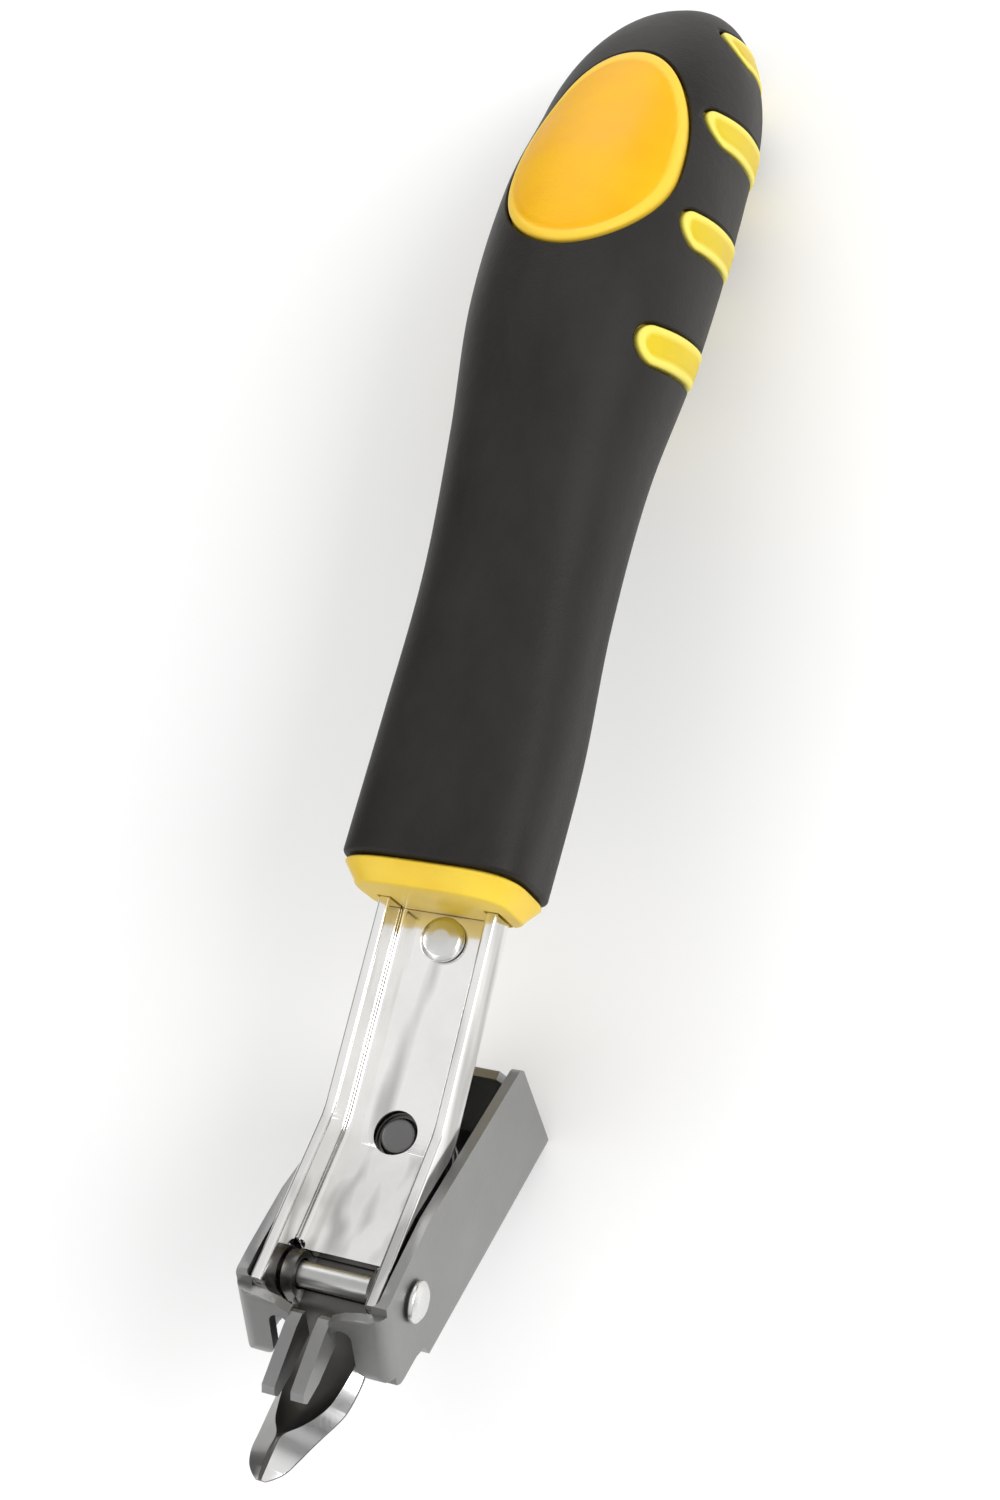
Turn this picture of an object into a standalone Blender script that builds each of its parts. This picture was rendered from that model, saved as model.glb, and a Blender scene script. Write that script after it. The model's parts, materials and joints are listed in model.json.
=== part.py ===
"""A heavy-duty staple remover: a long two-component handle, a channel shank with a scooped lower jaw,
and a sprung lever that carries the upper prongs and the rocking heel.

The tool is modelled in its own frame, in millimetres turned into metres by MM: X is the hinge's
direction, Y runs from the jaws (-Y) to the handle's butt (+Y), Z points out of the open side of the
shank. Y = 0, Z = 0 is where the back of the shank's floor bends. An empty then lays the tool down
on its back, so that the lever's heel and the handle's belly both touch Z = 0.
"""

import math

import bmesh
import bpy
from mathutils import Matrix, Vector

MM = 0.001
GAP = 0.3  # clearance between neighbouring solids

# Handle: distance along the tool, half width, half depth, centre, corner exponent of the section.
GRIP_STATIONS = (
    (31.0, 12.4, 9.2, 6.0, 3.8),
    (50.0, 12.6, 10.4, 4.8, 3.2),
    (70.0, 12.3, 11.3, 5.2, 2.7),
    (90.0, 13.4, 13.1, 6.1, 2.4),
    (110.0, 15.6, 16.1, 5.4, 2.3),
    (130.0, 16.1, 16.8, 2.9, 2.3),
    (145.0, 15.4, 16.0, -0.8, 2.3),
)
BUTT_LENGTH = 31.5  # the domed end beyond the last station
BUTT_DROOP = 0.29  # how far the section's centre drops for each unit along the butt
GRIP_SEGMENTS = 36
SLEEVE_START = 31.3
SLEEVE_WALL = 1.6
PAD_PROUD = 0.3
COLLAR_BOTTOM = 28.0
COLLAR_TAPER = 1.5  # how much narrower the collar is at its lower edge, each side
COLLAR_INSET = 0.5  # how far the collar's upper edge sits inside the sleeve's outline
TONGUE_END = 19.5  # the yellow tongue behind the shank that the handle's rivet holds
TONGUE_HALF = 5.5
TONGUE_BACK = 2.6

THUMB_LOW, THUMB_WIDE, THUMB_HIGH = 114.5, 130.0, 153.5
THUMB_HALF_WIDTH = 12.0
THUMB_BACK = 8.0  # the thumb window is cut from the front down to this height
FINGER_ROWS = ((103.2, 16.4), (122.4, 14.4), (141.6, 11.0), (161.6, 3.9))  # top of each: along, height
FINGER_WIDTH = 5.8
FINGER_LEAN = math.radians(20.0)  # the pads run down and towards the butt
FINGER_LEFT_DROP = 9.0  # how much lower the pads end on the left side

# Shank: a channel of bent sheet, open to +Z, with a bend towards +Z below the spring stud.
SHANK_HALF = 8.0
SHANK_DEPTH = 6.5
SHANK_SHEET = 1.5
SHANK_TOP = 96.0
SHANK_BEND = math.radians(20.2)
SHANK_BEND_RADIUS = 14.0
SHANK_END = 23.4  # along the lower section, from the bend's corner
FLOOR_END = 16.8
PIN_ALONG, PIN_UP = 19.5, 0.8  # the pivot's place on the lower section
PIN_RADIUS = 1.5
EAR_RADIUS = 4.4  # the ears behind the pin
NOSE_RADIUS = 5.7  # how far the flanges reach past the pin, clear of the lever's nose
HANDLE_RIVET_Y = 24.7
STUD_RADIUS = 2.2  # the spring stud's shank
STUD_HOLE_RADIUS = 2.8
SEAT_RADIUS = 4.2  # the discs that the spring stands on
SEAT_SHEET_UPPER, SEAT_SHEET_LOWER = 0.9, 0.6

# Lever: u runs from the pivot along the web to the heel, v is square to it, towards the shank.
LEVER_ANGLE = math.radians(-41.5)
LEVER_SHEET = 1.3
LEVER_INNER = SHANK_HALF + GAP
LEVER_OUTER = LEVER_INNER + LEVER_SHEET
WEB_V = -11.5
HEEL_U = 42.1  # heel corner on the web
CREST = (35.6, 6.8)  # front corner of each side wall at the heel end
WEB_START = 5.3
TAB_U = -7.3  # outer face of the nose tabs
PRONG_GAP, PRONG_SHEET = 1.0, 1.6

BLADE_HALF = 5.2
BLADE_SHEET = 1.8
BLADE_TOP = 8.0

SPRING_RADIUS, SPRING_WIRE, SPRING_TURNS = 3.6, 0.55, 6.5
SPRING_FOOT = (26.5, WEB_V + LEVER_SHEET)  # where the spring stands on the web, in u, v


# ---------------------------------------------------------------- helpers


def clear_scene():
    for obj in list(bpy.data.objects):
        bpy.data.objects.remove(obj, do_unlink=True)


def material(name, color, roughness, metallic):
    made = bpy.data.materials.new(name)
    made.use_nodes = True
    shader = made.node_tree.nodes["Principled BSDF"]
    shader.inputs["Base Color"].default_value = (*color, 1.0)
    shader.inputs["Roughness"].default_value = roughness
    shader.inputs["Metallic"].default_value = metallic
    return made


def new_object(name, bm, look=None, parent=None):
    """An object from a bmesh in millimetres. Without a look it is a cutter, which stays hidden."""
    bmesh.ops.scale(bm, vec=(MM, MM, MM), verts=bm.verts)
    bmesh.ops.recalc_face_normals(bm, faces=bm.faces)
    mesh = bpy.data.meshes.new(name)
    bm.to_mesh(mesh)
    bm.free()
    mesh.shade_smooth()
    mesh.set_sharp_from_angle(angle=math.radians(35))
    obj = bpy.data.objects.new(name, mesh)
    bpy.context.scene.collection.objects.link(obj)
    obj.parent = parent
    if look is None:
        obj.hide_render = True
        obj.display_type = "WIRE"
    else:
        mesh.materials.append(look)
    return obj


def boolean(obj, cutter, operation="DIFFERENCE"):
    step = obj.modifiers.new(operation.lower() + "_" + cutter.name, "BOOLEAN")
    step.object = cutter
    step.operation = operation
    step.solver = "EXACT"


def loft(rings, pole=None):
    """A closed solid through rings of equal length, capped at the start and at the end or at a pole."""
    bm = bmesh.new()
    loops = [[bm.verts.new(point) for point in ring] for ring in rings]
    count = len(loops[0])
    for low, high in zip(loops, loops[1:]):
        for i in range(count):
            j = (i + 1) % count
            bm.faces.new((low[i], low[j], high[j], high[i]))
    bm.faces.new(loops[0])
    if pole is None:
        bm.faces.new(loops[-1])
    else:
        tip = bm.verts.new(pole)
        for i in range(count):
            bm.faces.new((loops[-1][i], loops[-1][(i + 1) % count], tip))
    return bm


def prism_x(outline, x0, x1):
    """A prism across the tool: an outline of (y, z) points between two x values."""
    return loft([[(x, y, z) for y, z in outline] for x in (x0, x1)])


def arc(centre, radius, start, end, steps):
    """Points on an arc, with angles in degrees."""
    turn = [math.radians(start + (end - start) * i / steps) for i in range(steps + 1)]
    return [(centre[0] + radius * math.cos(a), centre[1] + radius * math.sin(a)) for a in turn]


def turned(profile, start, direction, segments=20):
    """A solid of revolution, from (radius, distance along the axis) points that begin and end on the axis."""
    rings = []
    for radius, along in profile[1:-1]:
        points = arc((0.0, 0.0), radius, 0, 360 - 360 / segments, segments - 1)
        rings.append([(a, b, along) for a, b in points])
    bm = loft(rings)
    frame = Vector(direction).to_track_quat("Z", "Y").to_matrix().to_4x4()
    bmesh.ops.transform(bm, matrix=Matrix.Translation(start) @ frame, verts=bm.verts)
    return bm


def cylinder(radius, start, direction, length, segments=20):
    profile = ((0.0, 0.0), (radius, 0.0), (radius, length), (0.0, length))
    return turned(profile, start, direction, segments)


def lower(along, up):
    """(y, z) of a point on the shank's lower section: distance below the bend, height above its back."""
    y = -along * math.cos(SHANK_BEND) + up * math.sin(SHANK_BEND)
    z = along * math.sin(SHANK_BEND) + up * math.cos(SHANK_BEND)
    return y, z


PIVOT = lower(PIN_ALONG, PIN_UP)


def lever(u, v):
    """(y, z) of a point in the lever's frame, whose origin is the pivot."""
    y = PIVOT[0] + u * math.cos(LEVER_ANGLE) - v * math.sin(LEVER_ANGLE)
    z = PIVOT[1] + u * math.sin(LEVER_ANGLE) + v * math.cos(LEVER_ANGLE)
    return y, z


def shank_path(steps=6):
    """Stations down the back of the shank: (y, z, outward y, outward z), round the bend as an arc."""
    tangent = SHANK_BEND_RADIUS * math.tan(SHANK_BEND / 2)
    stations = []
    for i in range(steps + 1):
        angle = SHANK_BEND * i / steps
        y = tangent - SHANK_BEND_RADIUS * math.sin(angle)
        z = SHANK_BEND_RADIUS * (1 - math.cos(angle))
        stations.append((y, z, math.sin(angle), math.cos(angle)))
    return stations


def swept(section, top, end):
    """A section of (x, up) points swept down the shank from y = top to a distance below the bend."""
    rings = [[(x, top, up) for x, up in section]]
    for y, z, out_y, out_z in shank_path():
        rings.append([(x, y + up * out_y, z + up * out_z) for x, up in section])
    rings.append([(x, *lower(end, up)) for x, up in section])
    return loft(rings)


# ---------------------------------------------------------------- handle


def along_grip(y, column):
    """A smooth curve through one column of GRIP_STATIONS."""
    rows = GRIP_STATIONS
    y = min(max(y, rows[0][0]), rows[-1][0])
    i = min(sum(row[0] <= y for row in rows), len(rows) - 1) - 1

    def slope(k):
        before, after = rows[max(k - 1, 0)], rows[min(k + 1, len(rows) - 1)]
        return (after[column] - before[column]) / (after[0] - before[0])

    span = rows[i + 1][0] - rows[i][0]
    t = (y - rows[i][0]) / span
    start, end = rows[i][column], rows[i + 1][column]
    rise = slope(i) * span * (t - 2 * t**2 + t**3) + slope(i + 1) * span * (t**3 - t**2)
    return start + (end - start) * (3 * t**2 - 2 * t**3) + rise


def section_ring(y, half_x, half_z, centre, exponent):
    """A superellipse across the handle."""
    ring = []
    for i in range(GRIP_SEGMENTS):
        a = 2 * math.pi * (i + 0.5) / GRIP_SEGMENTS
        x = math.copysign(abs(math.cos(a)) ** (2 / exponent), math.cos(a))
        z = math.copysign(abs(math.sin(a)) ** (2 / exponent), math.sin(a))
        ring.append((half_x * x, y, centre + half_z * z))
    return ring


def grip_ring(y, offset):
    half_x, half_z, centre, exponent = (along_grip(y, column) for column in (1, 2, 3, 4))
    return section_ring(y, half_x + offset, half_z + offset, centre, exponent)


def grip_rings(start, offset):
    """Rings up the handle at an offset from its surface, and the pole of the domed butt."""
    last, half_x, half_z, centre, exponent = GRIP_STATIONS[-1]
    steps = 16
    rings = [grip_ring(start + (last - start) * i / steps, offset) for i in range(steps)]
    length = BUTT_LENGTH + offset
    for angle in range(0, 90, 10):
        reach, shrink = math.sin(math.radians(angle)), math.cos(math.radians(angle))
        drop = BUTT_DROOP * length * reach
        sizes = (half_x + offset) * shrink, (half_z + offset) * shrink
        rings.append(section_ring(last + length * reach, *sizes, centre - drop, exponent))
    return rings, (0.0, last + length, centre - BUTT_DROOP * length)


def grip_solid(start, offset):
    rings, pole = grip_rings(start, offset)
    return loft(rings, pole)


def thumb_window(inset):
    """The egg-shaped prism of the thumb pad, standing up from inside the handle."""
    half = THUMB_HALF_WIDTH - inset
    outline = []
    for i in range(28):
        a = 2 * math.pi * i / 28
        reach = (THUMB_HIGH if math.sin(a) > 0 else THUMB_LOW) - THUMB_WIDE
        reach = abs(reach) - inset
        outline.append((half * math.cos(a), THUMB_WIDE + reach * math.sin(a)))
    return loft([[(x, y, z) for x, y in outline] for z in (THUMB_BACK, 40.0)])


def finger_window(row, inset):
    """A round-topped slot across the whole back of the handle, leaning towards the butt."""
    y, z = FINGER_ROWS[row]
    half = FINGER_WIDTH / 2 - inset
    down = (math.sin(FINGER_LEAN), -math.cos(FINGER_LEAN))
    across = (down[1], -down[0])

    def outline(drop):
        depth = FINGER_WIDTH / 2 + drop
        top = (y + down[0] * depth, z + down[1] * depth)
        points = []
        for a, b in arc((0.0, 0.0), half, 0, 180, 8):
            points.append((top[0] - a * across[0] - b * down[0], top[1] - a * across[1] - b * down[1]))
        for side in (1, -1):
            foot = (top[0] + 45 * down[0], top[1] + 45 * down[1])
            points.append((foot[0] + side * half * across[0], foot[1] + side * half * across[1]))
        return points

    stations = ((-20.0, FINGER_LEFT_DROP), (-6.0, FINGER_LEFT_DROP), (6.0, 0.0), (20.0, 0.0))
    return loft([[(x, *point) for point in outline(drop)] for x, drop in stations])


def make_sleeve(parent):
    """The soft black overmould: a hollow skin with one opening for the thumb and four for the fingers."""
    look = material("black_rubber", (0.028, 0.025, 0.023), 0.55, 0.0)
    sleeve = new_object("grip_sleeve", grip_solid(SLEEVE_START, 0.0), look, parent)
    inside = new_object("sleeve_inside", grip_solid(SLEEVE_START - 1.0, -SLEEVE_WALL), None, parent)
    boolean(sleeve, inside)
    boolean(sleeve, new_object("thumb_opening", thumb_window(0.0), None, parent))
    for row in range(len(FINGER_ROWS)):
        boolean(sleeve, new_object(f"finger_opening_{row + 1}", finger_window(row, 0.0), None, parent))


def make_core(parent):
    """The hard yellow body: collar, the part inside the sleeve, and a tongue behind the shank."""
    look = material("yellow_plastic", (0.93, 0.72, 0.10), 0.38, 0.0)
    _, half_x, half_z, centre, exponent = GRIP_STATIONS[0]
    top = SLEEVE_START - GAP
    rings = []
    for y, inset in ((COLLAR_BOTTOM, COLLAR_INSET + COLLAR_TAPER), (top, COLLAR_INSET)):
        rings.append(section_ring(y, half_x - inset, half_z - inset, centre, exponent))
    inner, pole = grip_rings(top, -SLEEVE_WALL - GAP)
    core = new_object("handle_core", loft(rings + inner, pole), look, parent)
    thick, thin = -TONGUE_BACK, -1.1
    outline = [(TONGUE_END, -GAP), (TONGUE_END, thick + 0.6), (TONGUE_END + 0.8, thick), (27.0, thick)]
    outline += [(30.0, thin), (40.0, thin), (40.0, -GAP)]
    tongue = prism_x(outline, -TONGUE_HALF, TONGUE_HALF)
    boolean(core, new_object("core_tongue", tongue, None, parent), "UNION")
    outer, inner = SHANK_HALF + GAP, SHANK_HALF - SHANK_SHEET - GAP
    floor, rim = SHANK_SHEET + GAP, SHANK_DEPTH + GAP
    channel = ((-outer, -GAP), (outer, -GAP), (outer, rim), (inner, rim))
    channel += ((inner, floor), (-inner, floor), (-inner, rim), (-outer, rim))
    pocket = loft([[(x, y, z) for x, z in channel] for y in (10.0, SHANK_TOP + GAP)])
    boolean(core, new_object("core_pocket", pocket, None, parent))
    hole = cylinder(PIN_RADIUS + GAP, (0.0, HANDLE_RIVET_Y, -5.0), (0, 0, 1), 8.0)
    boolean(core, new_object("core_rivet_hole", hole, None, parent))


def make_pads(parent):
    """The thumb pad and four finger pads, in the sleeve's openings and a little proud of it."""
    orange = material("amber_plastic", (0.93, 0.51, 0.03), 0.42, 0.0)
    yellow = material("yellow_pad", (0.88, 0.67, 0.05), 0.42, 0.0)
    below = new_object("pad_floor", grip_solid(SLEEVE_START - 1.0, -SLEEVE_WALL), None, parent)
    windows = [("thumb_pad", thumb_window(GAP), orange)]
    for row in range(len(FINGER_ROWS)):
        windows.append((f"finger_pad_{row + 1}", finger_window(row, GAP), yellow))
    for name, window, look in windows:
        pad = new_object(name, grip_solid(SLEEVE_START, PAD_PROUD), look, parent)
        boolean(pad, new_object(name + "_outline", window, None, parent), "INTERSECT")
        boolean(pad, below)


# ---------------------------------------------------------------- shank and lower jaw


def channel_section():
    """The channel across: outer corners rounded by the fold, inner ones by a smaller radius."""
    outer, inner, sheet = SHANK_HALF, SHANK_HALF - SHANK_SHEET, SHANK_SHEET
    fold, tight = 2.0, 0.7
    right = [(outer, SHANK_DEPTH)]
    right += reversed(arc((outer - fold, fold), fold, -90, 0, 4))
    left = [(-x, up) for x, up in reversed(right)]
    hollow = [(-inner, SHANK_DEPTH)]
    hollow += arc((-inner + tight, sheet + tight), tight, 180, 270, 3)
    hollow += [(-x, up) for x, up in reversed(hollow)]
    return right + left + hollow


def make_shank(parent):
    """The bent channel. Its floor stops short of the pivot, and its flanges end in rounded ears."""
    look = material("chromed_steel", (0.78, 0.77, 0.75), 0.14, 1.0)
    shank = new_object("shank", swept(channel_section(), SHANK_TOP, SHANK_END), look, parent)
    pin = (PIN_ALONG, PIN_UP)
    inner = SHANK_HALF - SHANK_SHEET
    ear = [lower(a, up) for a, up in arc(pin, EAR_RADIUS, 0, 345, 23)]
    for name, x0, x1 in (("right", inner, SHANK_HALF), ("left", -SHANK_HALF, -inner)):
        boolean(shank, new_object("shank_ear_" + name, prism_x(ear, x0, x1), None, parent), "UNION")
    past = SHANK_END + 10
    mouth = [lower(a, up) for a, up in ((FLOOR_END, -6), (past, -6), (past, 3), (FLOOR_END, 3))]
    boolean(shank, new_object("floor_cut", prism_x(mouth, -inner, inner), None, parent))
    nose = [(past, 5.2)] + list(arc(pin, NOSE_RADIUS, 50, -60, 12)) + [(PIN_ALONG + 2, -9), (past, -9)]
    outline = [lower(a, up) for a, up in nose]
    boolean(shank, new_object("ear_trim", prism_x(outline, -9.0, 9.0), None, parent))
    pivot_hole = cylinder(PIN_RADIUS + GAP, (-12.0, *PIVOT), (1, 0, 0), 24.0)
    boolean(shank, new_object("shank_pivot_hole", pivot_hole, None, parent))
    rivet_hole = cylinder(PIN_RADIUS + GAP, (0.0, HANDLE_RIVET_Y, -5.0), (0, 0, 1), 8.0)
    boolean(shank, new_object("shank_rivet_hole", rivet_hole, None, parent))
    stud_hole = cylinder(STUD_HOLE_RADIUS, stud_point(-6.0), stud_axis(), 14.0, 24)
    boolean(shank, new_object("shank_stud_hole", stud_hole, None, parent))


def stud_axis():
    half = SHANK_BEND / 2
    return Vector((0.0, math.sin(half), math.cos(half)))


def stud_point(up):
    """A point on the spring stud's axis, by its height above the back of the shank at the bend."""
    half = SHANK_BEND / 2
    sag = SHANK_BEND_RADIUS * (1 / math.cos(half) - 1)
    return stud_axis() * (sag + up)


def blade_ring(place, half, edge, lip, rim_half, rim, hollow, back):
    """A section across the blade: edges ground from the rims down to a lip, and a hollow between."""
    slope = rim - hollow
    top = [(-half, edge), (-rim_half, rim), (-0.85 * rim_half, rim - 0.5 * slope)]
    top += [(-0.45 * rim_half, rim - 0.92 * slope), (0.0, hollow)] + [(-x, up) for x, up in reversed(top)]
    keel = back + 0.15 * (edge - lip - back)
    below = [(half, edge - lip), (0.6 * half, keel), (0.0, back), (-0.6 * half, keel), (-half, edge - lip)]
    return [(x, *place(up)) for x, up in top + below]


def make_blade(parent):
    """The fixed jaw: a strip behind the shank's floor that bends back and runs out into a ground beak."""
    look = material("hardened_steel", (0.72, 0.72, 0.72), 0.2, 1.0)
    top, back = -GAP, -GAP - BLADE_SHEET
    flat = (BLADE_HALF, top, BLADE_SHEET, 0.8 * BLADE_HALF, top, top, back)

    def square(y, z, out_y, out_z):
        return blade_ring(lambda up: (y + up * out_y, z + up * out_z), *flat)

    rings = [square(BLADE_TOP, 0.0, 0.0, 1.0)] + [square(*station) for station in shank_path()]
    beak = (  # along the lower section, half width, edge, lip, rim half width, rim, hollow, back
        (20.5, *flat),
        (22.5, 5.2, -0.8, 1.8, 4.3, -0.8, -0.8, -2.6),
        (24.5, 5.2, -2.2, 1.4, 4.6, -2.0, -2.1, -3.6),
        (26.5, 5.2, -3.7, 0.8, 4.2, -3.0, -3.2, -4.6),
        (29.0, 4.95, -4.6, 0.4, 3.7, -3.3, -3.9, -5.3),
        (31.7, 4.5, -4.8, 0.3, 3.2, -3.0, -4.0, -5.4),
        (33.6, 4.15, -3.9, 0.3, 2.6, -2.2, -3.4, -4.6),
        (35.5, 3.7, -2.8, 0.3, 1.7, -1.0, -2.1, -3.5),
        (37.3, 3.3, -1.8, 0.3, 0.4, 0.1, 0.1, -2.5),
        (39.4, 2.85, -0.7, 0.3, 0.35, 0.6, 0.6, -1.3),
        (41.0, 2.2, -0.2, 0.3, 0.3, 0.6, 0.6, -0.7),
        (42.0, 1.3, 0.1, 0.25, 0.25, 0.55, 0.55, -0.3),
        (42.5, 0.6, 0.2, 0.2, 0.2, 0.4, 0.4, -0.05),
    )
    for along, *section in beak:
        rings.append(blade_ring(lambda up, a=along: lower(a, up), *section))
    blade = new_object("jaw_blade", loft(rings), look, parent)
    ear_radius = PIN_RADIUS + GAP + 0.8
    pin = (PIN_ALONG, PIN_UP)
    foot = ((PIN_ALONG + ear_radius, back + 0.3), (PIN_ALONG - ear_radius, back + 0.3))
    ear = [lower(a, up) for a, up in list(arc(pin, ear_radius, 180, 0, 12)) + list(foot)]
    near, far = BLADE_HALF - 0.5, SHANK_HALF - SHANK_SHEET - GAP
    for name, x0, x1 in (("right", near, far), ("left", -far, -near)):
        boolean(blade, new_object("blade_ear_" + name, prism_x(ear, x0, x1), None, parent), "UNION")
    pivot_hole = cylinder(PIN_RADIUS + GAP, (-12.0, *PIVOT), (1, 0, 0), 24.0)
    boolean(blade, new_object("blade_pivot_hole", pivot_hole, None, parent))
    stud_hole = cylinder(STUD_RADIUS + GAP, stud_point(-6.0), stud_axis(), 14.0)
    boolean(blade, new_object("blade_stud_hole", stud_hole, None, parent))


def make_rivets(parent):
    """The rivet that holds the handle's tongue, and the stud that holds the blade and seats the spring."""
    look = material("rivet_steel", (0.66, 0.66, 0.65), 0.25, 1.0)
    back, front = -TONGUE_BACK - GAP, SHANK_SHEET + GAP
    head = [(0.0, back - 0.8), (2.0, back - 0.8), (2.8, back), (PIN_RADIUS, back)]
    head += [(PIN_RADIUS, front), (2.9, front), (2.9, front + 0.5), (2.3, front + 1.0)]
    head += [(1.2, front + 1.25), (0.0, front + 1.25)]
    new_object("handle_rivet", turned(head, (0.0, HANDLE_RIVET_Y, 0.0), (0, 0, 1), 24), look, parent)
    seat = -GAP - BLADE_SHEET - GAP
    below = seat - SEAT_SHEET_UPPER
    stud = [(0.0, below - 2.5), (STUD_RADIUS - 0.5, below - 2.5), (STUD_RADIUS, below - 2.0)]
    stud += [(STUD_RADIUS, below), (SEAT_RADIUS, below), (SEAT_RADIUS, seat), (STUD_RADIUS, seat)]
    stud += [(STUD_RADIUS, SHANK_SHEET - 0.7), (STUD_RADIUS - 0.3, SHANK_SHEET - 0.5)]
    stud += [(0.0, SHANK_SHEET - 0.5)]
    new_object("spring_stud", turned(stud, stud_point(0.0), stud_axis(), 24), look, parent)


# ---------------------------------------------------------------- lever, pin and spring


def side_wall_outline():
    """Outline of a lever side wall in u, v, from the heel corner round to the nose and back."""
    points = [(HEEL_U, WEB_V)]
    points += arc((CREST[0] - 1.8, CREST[1] - 2.0), 2.0, 18, 92, 4)
    points += [(6.0, 6.6), (-2.4, 5.2)]
    points += arc((TAB_U + 2.6, 2.0), 2.6, 105, 180, 4)
    points += arc((TAB_U + 2.8, -4.8), 2.8, 180, 268, 5)
    points += [(-1.0, -7.6), (1.0, -8.2), (2.2, -10.4), (WEB_START, WEB_V)]
    return points


def nose_tab_outline():
    """Half of the nose in x, v: the lobe beside the blade, and an arch from it to the prong."""
    edge = LEVER_OUTER - 0.05
    root = PRONG_GAP + PRONG_SHEET - 0.1
    points = [(edge, 3.2), (6.2, 2.8), (4.2, 2.3), (root, 1.4), (root, -0.6)]
    points += arc((4.0, -0.6), 1.2, 180, 0, 6)
    points += arc((6.8, -4.7), 1.5, 180, 270, 4)
    points += [(edge, -5.9)]
    return points


def prong_outline():
    """A prong in u, v: rooted in the nose, running out to a blunt point above the scoop."""
    root = TAB_U + LEVER_SHEET
    return ((root, 0.9), (root, -2.6), (TAB_U - 0.6, -3.0), (-11.0, -4.0), (-13.9, -4.2), (-14.6, -3.4),
            (-14.3, -2.4), (-11.6, -1.0), (TAB_U - 1.0, 0.7), (TAB_U + 0.6, 1.2))


def lever_prism(outline, x0, x1):
    return prism_x([lever(u, v) for u, v in outline], min(x0, x1), max(x0, x1))


def make_flap():
    """The heel's end flap, folded forward between the side walls, with its top corners cut back from them."""
    length = math.hypot(CREST[0] - HEEL_U, CREST[1] - WEB_V)
    along = ((CREST[0] - HEEL_U) / length, (CREST[1] - WEB_V) / length)
    half = LEVER_INNER + 0.4
    start, shoulder, end, notch = 0.6, length - 6.4, length - 2.6, 3.0
    outline = [(-half, start), (half, start), (half, shoulder), (half - notch, end)]
    outline += [(notch - half, end), (-half, shoulder)]
    rings = []
    for deep in (0.0, LEVER_SHEET):
        foot = (HEEL_U - along[1] * deep, WEB_V + along[0] * deep)
        rings.append([(x, *lever(foot[0] + along[0] * a, foot[1] + along[1] * a)) for x, a in outline])
    return loft(rings)


def make_lever(parent):
    """The moving piece: web, two side walls, the heel's end flap, and the nose with its two prongs."""
    look = material("satin_steel", (0.42, 0.42, 0.41), 0.34, 1.0)
    hub = bpy.data.objects.new("lever_hinge", None)
    bpy.context.scene.collection.objects.link(hub)
    hub.parent = parent
    hub.location = (0.0, PIVOT[0] * MM, PIVOT[1] * MM)
    inner, top = LEVER_INNER, WEB_V + LEVER_SHEET
    web = ((WEB_START, WEB_V), (HEEL_U, WEB_V), (HEEL_U - 0.7, top), (WEB_START, top))
    body = lever_prism(web, -inner - 0.5, inner + 0.5)
    obj = new_object("jaw_lever", body, look, parent)
    pieces = [("flap", make_flap())]
    for side, name in ((1, "right"), (-1, "left")):
        pieces.append((f"wall_{name}", lever_prism(side_wall_outline(), side * inner, side * LEVER_OUTER)))
        tab = [(side * x, v) for x, v in nose_tab_outline()]
        faces = (TAB_U, TAB_U + LEVER_SHEET)
        pieces.append((f"tab_{name}", loft([[(x, *lever(u, v)) for x, v in tab] for u in faces])))
        near, far = side * PRONG_GAP, side * (PRONG_GAP + PRONG_SHEET)
        pieces.append((f"prong_{name}", lever_prism(prong_outline(), near, far)))
    for name, bm in pieces:
        boolean(obj, new_object("lever_" + name, bm, None, parent), "UNION")
    pivot_hole = cylinder(PIN_RADIUS + GAP, (-12.0, *PIVOT), (1, 0, 0), 24.0)
    boolean(obj, new_object("lever_pivot_hole", pivot_hole, None, parent))
    web_point = Vector((0.0, *lever(*SPRING_FOOT)))
    stud_hole = cylinder(PIN_RADIUS + GAP, web_point - web_normal() * 5, web_normal(), 10.0)
    boolean(obj, new_object("lever_stud_hole", stud_hole, None, parent))
    hang_on(obj, hub)


def hang_on(obj, hub):
    """Parents an object to the hinge's empty without moving it, and puts its origin on the axis."""
    shift = Matrix.Translation(-hub.location)
    for piece in [obj] + [step.object for step in obj.modifiers if step.type == "BOOLEAN"]:
        piece.data.transform(shift)
        piece.parent = hub


def web_normal():
    """Out of the lever's web, towards the shank."""
    return Vector((0.0, -math.sin(LEVER_ANGLE), math.cos(LEVER_ANGLE)))


def spring_ends():
    start = stud_point(-2 * GAP - BLADE_SHEET - SEAT_SHEET_UPPER - SPRING_WIRE - GAP)
    foot = Vector((0.0, *lever(*SPRING_FOOT))) + web_normal() * (SEAT_SHEET_LOWER + 2 * GAP + SPRING_WIRE)
    return start, foot


def spring_axis(t):
    """Point and direction on the spring's bent centre line, a curve that leaves both seats squarely."""
    start, foot = spring_ends()
    reach = (foot - start).length * 0.45
    first, second = start - stud_axis() * reach, foot + web_normal() * reach
    point = (1 - t) ** 3 * start + 3 * t * (1 - t) ** 2 * first + 3 * t**2 * (1 - t) * second + t**3 * foot
    slope = (1 - t) ** 2 * (first - start) + 2 * t * (1 - t) * (second - first) + t**2 * (foot - second)
    return point, slope.normalized()


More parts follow.
